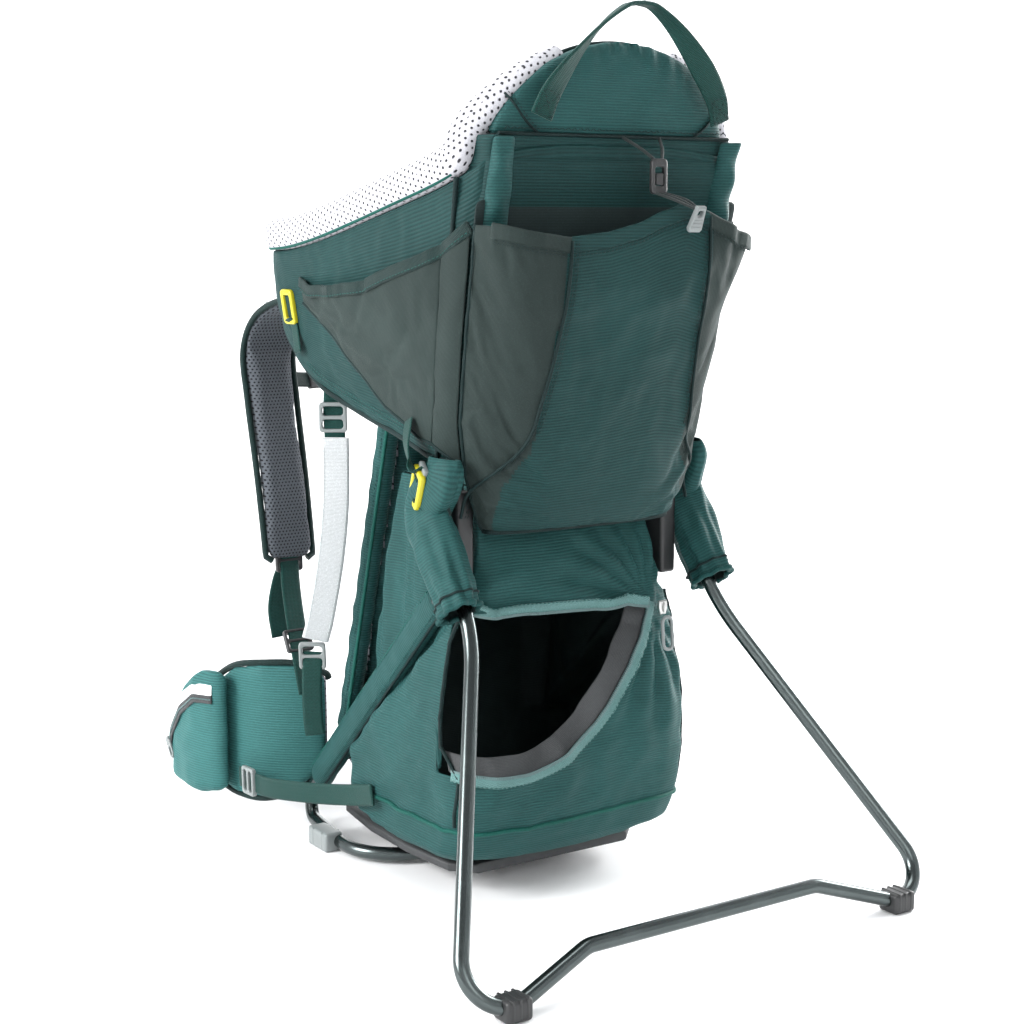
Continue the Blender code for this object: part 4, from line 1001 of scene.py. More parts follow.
def make_side_pockets(m):
    columns, levels = 40, 20
    width = columns + 1
    rows = [row for row in cockpit_stations() if row[0] > 0.1 and row[1] < 0.13]
    by_y = [(row[1], row[0], row[1], row[2]) for row in rows]

    def folds(u, v):
        fan = math.sin(u * 17 + 1.3 * v) * 0.0012 * v * (1 - 0.3 * u)
        return fan * math.sin(math.pi * u)

    for name, side in SIDES:
        grid = [[side_pocket_point(i / columns, j / levels, side, by_y, folds(i / columns, j / levels))
                 for i in range(width)] for j in range(levels + 1)]
        mesh = grid_mesh(f"side_pocket_cloth_{name}", grid)
        piece = face_out(add_piece(mesh.name, mesh, [m["slate"], m["lining"]], "frame",
                                   [f"side_pocket_{name}"]))
        ripple(piece, 0.0012, 30, 5 + side, (1, 1, 0.7), lambda p: 0.7)
        settle(piece, lambda i, p: 1.0 if i < 2 * width or i % width < 2 or i % width > columns - 2 else 0.15,
               shrink=-0.02, gravity=0.3, frames=10, cap=0.004)
        thicken(piece, 0.0016, 0.0, 1)
        points = [v.co.copy() for v in mesh.vertices]
        gusset = []
        for j in range(31):
            share = j / 30
            z_in, z_out = 0.382 + 0.150 * share, 0.367 + 0.183 * share
            inner = points[width * min(levels, round(levels * share)) + columns].copy()
            inner.z = z_in if 0 < j < 30 else inner.z
            outer = Vector((side * (interpolate(OUTER_POCKET, z_out, 1) + 0.0006), pocket_back(z_out), z_out))
            bulge = Vector((side * 0.8, -0.6, 0)) * 0.0035
            gusset.append([inner.lerp(outer, i / 8) + bulge * math.sin(math.pi * i / 8) for i in range(9)])
        corner = face_out(add_piece(f"side_pocket_corner_{name}", grid_mesh(f"side_pocket_corner_{name}", gusset),
                                    [m["slate"], m["lining"]], "frame"))
        ripple(corner, 0.0008, 40, 7 + side)
        thicken(corner, 0.0015, 0.0, 1)
        mouth = [p + Vector((side * 0.0004, 0, 0)) for p in points[levels * width:]] + [
            v + Vector((side * 0.0006, 0, 0)) for v in gusset[30][2:]]
        strap_piece(f"side_pocket_binding_{name}", mouth, 0.0105, 0.0026, (0, 0, 1), m["dark_webbing"], "frame",
                    bead=0.0002)
        below = [p + Vector((side * 0.0018, 0, -0.0035)) for p in mouth]
        stitch_row(f"side_pocket_stitches_{name}", below, m["thread"], "frame")
        edge = points[:width] + gusset[0][1:]
        bound_edge(f"side_pocket_seam_{name}", edge, m["dark_piping"], "frame", 0.0016)
        place = Vector((side * (cockpit_x(0.110, 0.482) + 0.0048), 0.110 - CENTRE_Y, 0.482))
        clip = [rounded_outline(0.010, 0.015, 0.004), rounded_outline(0.0056, 0.0100, 0.002)]
        matrix = placed((0, -side, 0), (side * FLARE, 0.25, 1), place)
        plate(f"corner_hook_{name}", clip, 0.0044, 0.0015, m["yellow_plastic"], matrix, "frame",
              [f"corner_clip_{name}"])
        up = Vector((0, 0.24, 0.97))
        strip = [place + up * t + Vector((side * dx, 0, 0)) for t, dx in
                 ((-0.040, -0.0030), (-0.018, -0.0030), (-0.0125, -0.0005), (-0.0105, 0.0026))]
        strap_piece(f"corner_hook_loop_{name}", smooth_path(strip, 5), 0.011, 0.0016, (0, 1, -0.25), m["webbing"],
                    "frame")
        strip = [place + up * t + Vector((side * dx, 0, 0)) for t, dx in
                 ((0.0108, 0.0030), (0.0128, -0.0004), (0.020, -0.0030), (0.034, -0.0040))]
        strap_piece(f"corner_hook_tail_{name}", smooth_path(strip, 5), 0.011, 0.0016, (0, 1, -0.25), m["webbing"],
                    "frame")


# ---------------------------------------------------------------- headrest and handle
HEADREST_BASE_Z = 0.600
HEADREST_DEPTH = 0.0136


def headrest_half_width(z):
    return 0.113 * math.sqrt(max(0, 1 - ((z - HEADREST_BASE_Z) / (HEADREST_TOP_Z - HEADREST_BASE_Z)) ** 2))


def headrest_depth(edge):
    """Half thickness of the headrest at a share of its height above the seam."""
    return HEADREST_DEPTH * math.sqrt(max(0.03, 1.02 - edge ** 3))


def make_headrest(m):
    columns, levels = 72, 22
    rows = []
    for j in range(levels + 1):
        share = j / levels
        z = HEAD_SEAM_Z + (HEADREST_TOP_Z - 0.0006 - HEAD_SEAM_Z) * math.sin(share * math.pi / 2)
        edge = (z - HEAD_SEAM_Z) / (HEADREST_TOP_Z - HEAD_SEAM_Z)
        width = max(headrest_half_width(z), 0.012)
        depth = headrest_depth(edge) * (0.80 + 0.20 * min(1, 8 * share))
        ring = []
        for i in range(columns):
            a = math.tau * i / columns
            ca, sa = math.cos(a), math.sin(a)
            x = width * math.copysign(abs(ca) ** 0.75, ca)
            y = depth * math.copysign(abs(sa) ** 0.55, sa)
            gather = 0.0024 * math.sin(x * 520 + 2.1 * math.sin(x * 90)) * (edge ** 2.4) * max(0, -sa) ** 0.5
            ring.append(Vector((x, hoop_y(z) - 0.001 + y - gather, z + gather * 0.3)))
        rows.append(ring)
    mesh = outward(grid_mesh("headrest_pad", rows, closed=True, caps=True))
    piece = add_piece("headrest_pad", mesh, m["ripstop"], "frame", ["headrest"])
    ripple(piece, 0.0011, 34, 2, (0.8, 1, 1.2), lambda p: 0.8 if p.y < hoop_y(p.z) else 0.2)
    rounded(piece)
    collar = []
    for j in range(13):
        z = 0.560 + 0.0048 * j
        row = []
        for i in range(61):
            share = 2 * i / 60 - 1
            turn = max(0, (abs(share) - 0.86) / 0.14) * math.pi / 2
            reach = min(0.1115 + 0.0105 * math.sin(turn), 0.1060 + 1.1 * abs(share))
            x = math.copysign(reach if turn else 0.1115 * abs(share) / 0.86, share)
            lead = panel_y(z) - 0.0032 if z < 0.600 else hoop_y(z) - 0.0128
            row.append(Vector((x, lead + 0.050 * (1 - math.cos(turn)), z)))
        collar.append(row)
    # The collar takes the darkened teal: painted shade.
    band = face_out(add_piece("headrest_collar", grid_mesh("headrest_collar", collar), m["ripstop_painted_shade"], "frame"))
    thicken(band, 0.0018, 0.0)
    crown = []
    for i in range(61):
        a = math.pi * i / 60
        z = HEADREST_BASE_Z + (HEADREST_TOP_Z - HEADREST_BASE_Z) * math.sin(a)
        if z < HEAD_SEAM_Z + 0.002:
            continue
        x = -0.1120 * math.cos(a)
        crown.append(Vector((x, hoop_y(z) + 0.0075, z + 0.0002)))
    bound_edge("headrest_piping", crown, m["dark_piping"], "frame", 0.0019)
    lining = []
    for j in range(13):
        z = 0.6180 + (0.6815 - 0.6180) * j / 12
        half = headrest_half_width(z) - 0.004
        lining.append([Vector((-half + 2 * half * i / 30, hoop_y(z) + 0.0165 + 0.0016 * math.sin(math.pi * i / 30)
                               * math.sin(math.pi * j / 12), z)) for i in range(31)])
    mesh = grid_mesh("headrest_face", lining)
    face = add_piece("headrest_face", mesh, m["rim_mesh"], "frame", ["headrest_lining"])
    thicken(face, 0.004, 0.0)

    def on_front(x, z, out):
        edge = (z - HEAD_SEAM_Z) / (HEADREST_TOP_Z - HEAD_SEAM_Z)
        ca = min(1, (abs(x) / max(headrest_half_width(z), 0.012)) ** (1 / 0.75))
        depth = headrest_depth(edge) * math.sqrt(1 - ca * ca) ** 0.55
        return Vector((x, hoop_y(z) - 0.001 - depth - out, z))

    for tag, s in SIDES:
        dart = [on_front(s * x, z, 0.0006) for x, z in
                ((0.1010, 0.6480), (0.0960, 0.6400), (0.0880, 0.6300), (0.0800, 0.6230), (0.0740, 0.6190))]
        bound_edge(f"headrest_dart_{tag}", smooth_path(dart, 6), m["dark_piping"], "frame", 0.0010)
        beside = [p + Vector((-s * 0.0022, -0.0008, 0.0016)) for p in smooth_path(dart, 6)]
        stitch_row(f"headrest_dart_stitches_{tag}", beside, m["dark_thread"], "frame")
    seam = [Vector((-0.110 + 0.220 * i / 40, hoop_y(0.6185) - 0.0142, 0.6185)) for i in range(41)]
    bound_edge("headrest_seam", seam, m["dark_piping"], "frame", 0.0015)
    zigzag = [Vector((-0.106 + 0.212 * i / 70, hoop_y(0.6225) - 0.0152, 0.6215 + 0.0022 * (i % 2)))
              for i in range(71)]
    stitch_row("headrest_stitches", zigzag, m["dark_thread"], "frame", length=0.0030, gap=0.0006)
    make_handle(m)


def handle_path():
    arch = [(-0.085, -0.1800, 0.630), (-0.078, -0.1835, 0.648), (-0.060, -0.1860, 0.672),
            (-0.036, -0.1870, 0.697), (-0.014, -0.1875, 0.7125), (0, -0.1875, 0.7155)]
    return mirrored([P(*p) for p in smooth_path(arch, 10)])


def make_handle(m):
    path = handle_path()

    def twisting(share):
        i = min(max(round(share * (len(path) - 1)), 1), len(path) - 2)
        along = path[i + 1] - path[i - 1]
        flat = Vector((along.z, 0, -along.x)).normalized()
        turned = math.sin(math.pi * share) ** 1.5
        return flat * (1 - turned) + Vector((0, 1, 0)) * turned

    strap_piece("carry_handle_webbing", path, 0.0190, 0.0031, twisting, m["webbing"], "grab_handle",
                ["grab_handle"], bead=0.0003, widths=lambda t: 1 - 0.30 * max(0, math.sin(math.pi * (t * 1.6 - 0.3)))
                if 0.19 < t < 0.81 else 1.0)
    for end, s in SIDES:
        foot, above = (path[0], path[4]) if s < 0 else (path[-1], path[-5])
        up = (above - foot).normalized()
        wide = Vector((up.z, 0, -up.x)).normalized()
        out = Vector((0, -0.0022, 0))
        box = [foot + up * 0.001 - wide * 0.0075, foot + up * 0.001 + wide * 0.0075,
               foot + up * 0.019 + wide * 0.0075, foot + up * 0.019 - wide * 0.0075]
        for number, (a, b) in enumerate(((0, 1), (1, 2), (2, 3), (3, 0), (0, 2), (1, 3))):
            line = [box[a] + out, box[b] + out]
            stitch_row(f"handle_stitches_{end}_{number}", line, m["dark_thread"], "grab_handle")


# ---------------------------------------------------------------- outer pocket
# height, half width and depth
OUTER_POCKET = ((POCKET_BOTTOM_Z, 0.089, 0.020), (0.318, 0.094, 0.027), (0.335, 0.101, 0.033),
                (0.360, 0.1085, 0.037), (0.400, 0.115, 0.040), (0.460, 0.120, 0.042), (0.520, 0.1235, 0.044),
                (POCKET_MOUTH_Z, 0.1255, 0.0455), (0.572, 0.1270, 0.0465))


POCKET_PANEL_SEAM = ((0.349, 0.104), (0.385, 0.079), (0.437, 0.072), (0.496, 0.067), (0.560, 0.066))
POCKET_LIMIT_Y = -0.2085


def pocket_back(z):
    """y of the pocket's back at a height."""
    return panel_y(z) - 0.0025 - 0.15 * max(0, 0.400 - z)


def pocket_front(x, z, inset=0.0):
    """y of the pocket's front at x, as a superellipse."""
    half = interpolate(OUTER_POCKET, z, 1) - inset
    depth = interpolate(OUTER_POCKET, z, 2) - 2 * inset
    return pocket_back(z) - inset - depth * max(0, 1 - abs(x / half) ** 2.8) ** (1 / 2.8) - 0.004


def pocket_mouth_z(x):
    """Height of the mouth's edge: it dips on the left and rises to where the drawcord holds it."""
    table = [(-0.128, 0.552), (-0.100, 0.546), (-0.068, 0.541), (-0.030, 0.545), (0.000, 0.552), (0.022, 0.560),
             (0.045, 0.566), (0.070, 0.557), (0.100, 0.545), (0.128, 0.540)]
    return interpolate(table, x, 1)


def make_outer_pocket(m):
    columns, levels = 96, 60
    rows = []
    for j in range(levels + 1):
        share = j / levels
        row = []
        for i in range(columns + 1):
            a = math.pi * i / columns
            flat = -math.cos(a)
            top = pocket_mouth_z(flat * 0.125)
            z = POCKET_BOTTOM_Z + 0.0006 + (top - POCKET_BOTTOM_Z) * share
            half = interpolate(OUTER_POCKET, z, 1) - 0.0004
            x = half * flat
            row.append(Vector((x, pocket_front(x, z, 0.0006), z)))
        rows.append(row)

    def which(i, j):
        x = -math.cos(math.pi * (i + 0.5) / columns) * 0.12
        z = POCKET_BOTTOM_Z + 0.235 * (j + 0.5) / levels
        seam = interpolate([(0.318, 0.115), *POCKET_PANEL_SEAM], z, 1)
        return 1 if abs(x) > seam else 0

    mesh = grid_mesh("outer_pocket_cloth", rows, groups=which)
    # The pocket's middle panel takes the darkened teal: painted shade.
    piece = face_out(add_piece("outer_pocket_cloth", mesh, [m["ripstop_painted_shade"], m["slate"], m["lining_teal"]],
                               "frame", ["outer_pocket"]))

    def loose(p):
        up = (p.z - POCKET_BOTTOM_Z) / 0.23
        return min(1, max(0, up * 3)) * (0.55 + 0.45 * up)

    ripple(piece, 0.0034, 9, 4, (1, 1, 0.8), loose)
    ripple(piece, 0.0021, 22, 6, (0.7, 1, 1.1), loose)
    ripple(piece, 0.0008, 55, 9, (1, 1, 0.8), loose)
    hooked = Vector((0.045, 0, 0.566))
    for v in mesh.vertices:
        near = math.exp(-(((v.co.x - hooked.x) / 0.05) ** 2 + ((v.co.z - hooked.z) / 0.05) ** 2))
        v.co.y += 0.0035 * near * math.sin((v.co.x - hooked.x) * 260)
    width = columns + 1
    settle(piece, lambda i, p: 1.0 if i < width or i % width in (0, columns) else
           (0.5 if i >= levels * width else 0.06), shrink=-0.022, gravity=0.5, pressure=0.4, frames=16, cap=0.006)
    for v in mesh.vertices:
        v.co.y = min(v.co.y, pocket_back(v.co.z) - 0.0018)
        v.co.y = max(v.co.y, POCKET_LIMIT_Y)
    mesh.update()
    thicken(piece, 0.0018, -1.0, 0)
    points = [v.co.copy() for v in mesh.vertices]
    mouth = points[levels * width + 7:(levels + 1) * width - 7]
    hem = [p + Vector((0, -0.0002, -0.0030)) for p in mouth]
    # The hem's teal part is the darkened teal: painted shade.
    band = strap_piece("outer_pocket_hem", hem, 0.0120, 0.0026, (0, -0.05, 1),
                       [m["ripstop_painted_shade_xz"], m["slate"]], "frame")
    faces_by(band, lambda centre, normal: 1 if abs(centre.x) > 0.0665 else 0)
    for number, drop in enumerate((0.0096, 0.0118)):
        line = [p + Vector((0, -0.0021 + 0.0005 * number, -drop)) for p in mouth]
        stitch_row(f"outer_pocket_stitches_{number}", line, m["dark_thread"], "frame")
    for name, side in SIDES:
        seam = []
        for j in range(3, levels + 1):
            row = points[j * width:(j + 1) * width]
            target = interpolate([(0.318, 0.113), *POCKET_PANEL_SEAM], row[columns // 2].z, 1) * side
            close = min(row, key=lambda p: abs(p.x - target))
            seam.append(Vector((target, close.y - 0.0012, close.z)))
        seam = even_path(smooth_path(seam[::5] + [seam[-1]], 5), 0.004)
        bound_edge(f"pocket_panel_seam_{name}", seam, m["dark_piping"], "frame", 0.0014)
        for number, shift in enumerate((0.0034, 0.0058)):
            line = [p + Vector((-side * shift, -0.0011, 0)) for p in seam]
            stitch_row(f"pocket_panel_stitches_{name}_{number}", line, m["dark_thread"], "frame")
        edge = [points[j * width + (0 if side < 0 else columns)] + Vector((0, 0.0012, 0))
                for j in range(levels + 1)]
        bound_edge(f"pocket_side_binding_{name}", edge, m["dark_piping"], "frame", 0.0015)
        flap = []
        for j in range(19):
            z = 0.532 + 0.084 * j / 18
            fold = 0.0022 * math.sin(z * 210 + side)
            top = 0.35 * max(0, (z - 0.575) / 0.041)
            flap.append([Vector((side * (0.1175 - 0.003 * top), panel_y(z) - 0.0020, z)),
                         Vector((side * (0.1150 + 0.002 * top), panel_y(z) - 0.0090 + fold, z)),
                         Vector((side * (0.1080 + 0.004 * top), panel_y(z) - 0.0120 + fold + 0.008 * top, z)),
                         Vector((side * (0.1000 + 0.006 * top), panel_y(z) - 0.0085 - fold + 0.005 * top, z)),
                         Vector((side * (0.0950 + 0.010 * top), panel_y(z) - 0.0030, z))])
        gusset = face_out(add_piece(f"pocket_gusset_{name}", grid_mesh(f"pocket_gusset_{name}", flap),
                                    m["ripstop"], "frame"), (0, 0, 0.57))
        thicken(gusset, 0.0014, 0.0, 1)
    foot = [p + Vector((0, 0.0008, -0.0002)) for p in points[:width]]
    bound_edge("pocket_foot_binding", foot, m["dark_piping"], "frame", 0.0022)
    floor = [[p.copy() for p in points[:width]],
             [Vector((p.x, pocket_back(p.z) + 0.0010, p.z)) for p in points[:width]]]
    bottom = add_piece("outer_pocket_floor", grid_mesh("outer_pocket_floor", floor), m["ripstop"], "frame")
    thicken(bottom, 0.0014, 0.0, 0)
    panel = []
    for j in range(21):
        z = POCKET_BOTTOM_Z + 0.0005 + (0.570 - POCKET_BOTTOM_Z) * j / 20
        half = interpolate(OUTER_POCKET, z, 1) - 0.0006
        panel.append([Vector((-half + 2 * half * i / 24, pocket_back(z) - 0.0010, z)) for i in range(25)])
    back = add_piece("outer_pocket_back", grid_mesh("outer_pocket_back", panel), m["lining_teal"], "frame")
    thicken(back, 0.0014, 0.0, 0)
    make_hook(m)


def make_hook(m):
    centre = P(0.018, -0.1885, 0.588)
    matrix = placed((1, 0, 0), (-0.12, 0, 1), centre)
    ring = [rounded_outline(0.0075, 0.0135, 0.0035), rounded_outline(0.0043, 0.0070, 0.002)]
    plate("side_release_hook", ring, 0.0048, 0.0016, m["black_plastic"], matrix, "hook",
          ["pocket_hook"])
    moulding("hook_tongue", (0.0070, 0.0090, 0.0046), 0.0013, m["black_plastic"],
             matrix @ Matrix.Translation((0, -0.0020, 0)), "hook")
    for number, x in enumerate((-0.0042, 0.0042)):
        legs = [P(0.018 + (x * 4.2), -0.1665, 0.6175), P(0.018 + x * 2.4, -0.1800, 0.6085), centre
                + Vector((x * 0.8, 0.0005, 0.0122))]
        path = even_path(smooth_path(legs, 6), 0.0025)
        tube_piece(f"hook_loop_{number}", path, 0.0013, m["cord"], "frame", sides=10)
    pull = placed((1, 0, 0), (-0.5, -0.5, 1), P(0.042, -0.2065, 0.556))
    hole = [(x, y + 0.0048) for x, y in rounded_outline(0.0024, 0.0028, 0.002)]
    drop = [(-0.0042, 0.0105), (0.0042, 0.0105), (0.0064, -0.0085), (0.0050, -0.0108), (-0.0050, -0.0108),
            (-0.0064, -0.0085)]
    plate("drawcord_pull", [list(reversed(drop)), hole], 0.0048, 0.0014, m["grey_plastic"], pull, "hook",
          ["cord_pull"])
    for k in (-1, 0, 1):
        moulding(f"drawcord_pull_ridge_{k + 1}", (0.0085 + 0.0008 * (1 - k), 0.0011, 0.0012), 0.0004,
                 m["grey_plastic"], pull @ Matrix.Translation((0, -0.0035 + k * 0.0028, 0.0024)), "hook")
    top = pull @ Vector((0, 0.0066, 0))
    for number, x in enumerate((-0.0042, 0.0, 0.0042)):
        start = centre + Vector((x, -0.0005, -0.0122))
        middle = start.lerp(top, 0.5) + Vector((x * 0.9, -0.0022, 0.0012))
        path = even_path(smooth_path([start, middle, top], 8), 0.0016)
        line = tube_piece(f"drawcord_{number}", path, 0.00105, m["cord"], "hook", sides=8)


# ---------------------------------------------------------------- lower bag
# height, front y, rear y and half width
BAG = ((0.0300, -0.080, 0.052, 0.098), (0.0340, -0.092, 0.062, 0.107), (0.0480, -0.106, 0.070, 0.115),
       (0.0750, -0.117, 0.075, 0.119), (0.1100, -0.124, 0.080, 0.120), (0.1500, -0.127, 0.084, 0.119),
       (0.1900, -0.127, 0.082, 0.113), (0.2300, -0.123, 0.071, 0.109), (0.2460, -0.120, 0.067, 0.106),
       (0.2550, -0.117, 0.064, BAG_NARROW), (0.2740, -0.111, 0.059, BAG_NARROW),
       (0.3050, -0.098, 0.051, 0.090), (0.3450, -0.084, 0.042, 0.086))
# x and z round the open mouth
BAG_MOUTH = ((-0.135, 0.238), (-0.104, 0.246), (-0.060, 0.248), (0.000, 0.246), (0.064, 0.241), (0.069, 0.236),
             (0.054, 0.208), (0.034, 0.173), (0.010, 0.142), (-0.020, 0.124), (-0.050, 0.116), (-0.085, 0.114),
             (-0.135, 0.118))


BAG_SKIN = 0.0012          # how far the cloth lies inside the solid
BAG_SPANS = 90             # between points on half of a level
BAG_LIMIT_X = 0.1225


def bag_ring(z, inset, spacing=BAG_SPANS):
    """One level of the bag as evenly spread points."""
    front = interpolate(BAG, z, 1) + inset
    rear = interpolate(BAG, z, 2) - inset
    wide = interpolate(BAG, z, 3) - inset
    step = rail_y(z) + CENTRE_Y - 0.022 - inset
    narrow = min(wide, BAG_NARROW - inset)
    if step > rear - 0.012:
        step, narrow = rear - 0.020, wide
    step = max(step, front + 0.020)
    corner = min(0.030, step - 0.011 - front)
    right = [(0, front - 0.004), (wide * 0.5, front - 0.003), (wide - corner, front),
             (wide - corner * 0.3, front + corner * 0.25), (wide, front + corner * 0.9), (wide, step - 0.010),
             (max(narrow, wide - 0.004), step - 0.003), (narrow, step + 0.004), (narrow, rear - 0.014),
             (narrow - 0.013, rear), (0, rear)]
    half = even_path([P(x, y, z) for x, y in right], 0.0001)
    picked = [half[round((len(half) - 1) * i / spacing)] for i in range(spacing + 1)]
    left = [Vector((-p.x, p.y, p.z)) for p in reversed(picked[1:-1])]
    return picked + left


def inside_outline(x, z, outline):
    inside = False
    for (x1, z1), (x2, z2) in zip(outline, [*outline[1:], outline[0]]):
        if (z1 > z) != (z2 > z) and x < (x2 - x1) * (z - z1) / (z2 - z1) + x1:
            inside = not inside
    return inside


def make_bag(m):
    levels = 84
    rows = []
    for j in range(levels + 1):
        z = BAG[0][0] + 0.0008 + (BAG[-1][0] - BAG[0][0] - 0.0016) * j / levels
        rows.append(bag_ring(z, BAG_SKIN))
    body = grid_mesh("lower_bag_cloth", rows, closed=True)
    work = bmesh.new()
    work.from_mesh(body)
    mouth = smooth_path([(x, 0, z) for x, z in BAG_MOUTH[1:-1]], 5)
    outline = [BAG_MOUTH[0], *[(p.x, p.z) for p in mouth], BAG_MOUTH[-1]]
    gone = []
    for face in work.faces:
        c = face.calc_center_median()
        if c.y < -0.083 - CENTRE_Y and inside_outline(c.x, c.z, outline):
            gone.append(face)
    bmesh.ops.delete(work, geom=gone, context="FACES")
    rim = [v for v in work.verts if v.is_boundary and 0.10 < v.co.z < 0.26 and v.co.y < -0.083 - CENTRE_Y]
    edge_line = [Vector((p.x, 0, p.z)) for p in even_path([Vector((x, 0, z)) for x, z in outline], 0.0006)]
    for v in rim:
        flat = Vector((v.co.x, 0, v.co.z))
        near = min(edge_line, key=lambda p: (p - flat).length_squared)
        v.co.x += (near.x - v.co.x) * 0.95
        v.co.z += (near.z - v.co.z) * 0.95
    work.to_mesh(body)
    work.free()
    piece = face_out(add_piece("lower_bag_cloth", body, [m["ripstop"], m["inside"]], "frame",
                               ["lower_bag"]), (0, -0.04, 0.18))

    def loose(p):
        near_top = max(0, 1 - max(0, p.z - 0.28) / 0.05)
        base = min(1, max(0, (p.z - 0.045) / 0.03))
        return near_top * base

    corner = P(0.070, -0.122, 0.238)
    for v in body.vertices:
        if v.co.y < -0.09:
            away = corner - v.co
            reach = math.hypot(away.x, away.z)
            turn = math.atan2(away.z, away.x)
            fold = math.sin(turn * 19 + 2.0) * 0.0036 * math.exp(-((reach - 0.05) / 0.05) ** 2)
            v.co.y += fold * loose(v.co)
    body.update()
    ripple(piece, 0.0030, 11, 12, (1, 1, 0.8), loose)
    ripple(piece, 0.0020, 25, 15, (0.8, 1, 1.3), loose)
    pinned = {v.index for v in body.vertices if v.co.z < 0.036 or v.co.z > 0.335}
    settle(piece, lambda i, p: 1.0 if i in pinned else 0.04, shrink=-0.016, gravity=0.4, pressure=1.2, frames=14,
           cap=0.005)
    for v in body.vertices:
        v.co.x = max(-BAG_LIMIT_X, min(BAG_LIMIT_X, v.co.x))
    body.update()
    thicken(piece, 0.0022, -1.0, 1)
    top = [[P(-0.080 + 0.160 * i / 12, -0.078 + 0.114 * j / 8, 0.3440 - 0.0006 * (i % 2)) for i in range(13)]
           for j in range(9)]
    lid = add_piece("lower_bag_top", grid_mesh("lower_bag_top", top), m["ripstop"], "frame")
    thicken(lid, 0.0016, 0.0, 1)
    low = [[P(-0.094 + 0.188 * i / 12, -0.078 + 0.128 * j / 8, 0.0312) for i in range(13)] for j in range(9)]
    # The bag's bottom takes the darkened teal: painted shade under the bag.
    under = add_piece("lower_bag_bottom", grid_mesh("lower_bag_bottom", low), m["underside_painted_shade"], "frame")
    thicken(under, 0.0016, 0.0, 1)
    surface = BVHTree.FromPolygons([v.co for v in body.vertices], [tuple(p.vertices) for p in body.polygons])
    make_zip(m, surface, outline)
    make_bag_trim(m, surface)


def bag_front_y(x, z):
    """y of the bag's front at a point seen from outside."""
    ring = bag_ring(z, BAG_SKIN)
    count = len(ring) // 2
    right = ring[:count]
    table = [p for p in right if p.y < -0.02]
    best = min(table, key=lambda p: abs(p.x - abs(x)) + (0.2 if p.y > interpolate(BAG, z, 1) + 0.03 else 0))
    ordered = sorted(((p.x, p.y) for p in table if p.x <= max(q.x for q in table) - 1e-6), key=lambda q: q[0])
    return interpolate(ordered, abs(x), 1) if abs(x) < ordered[-1][0] else best.y


def laid_on(surface, points, lift):
    """The points moved to the nearest places on a surface, and off it by lift."""
    made = []
    for p in points:
        place, normal, _, _ = surface.find_nearest(p)
        made.append(place + normal * lift)
    return made


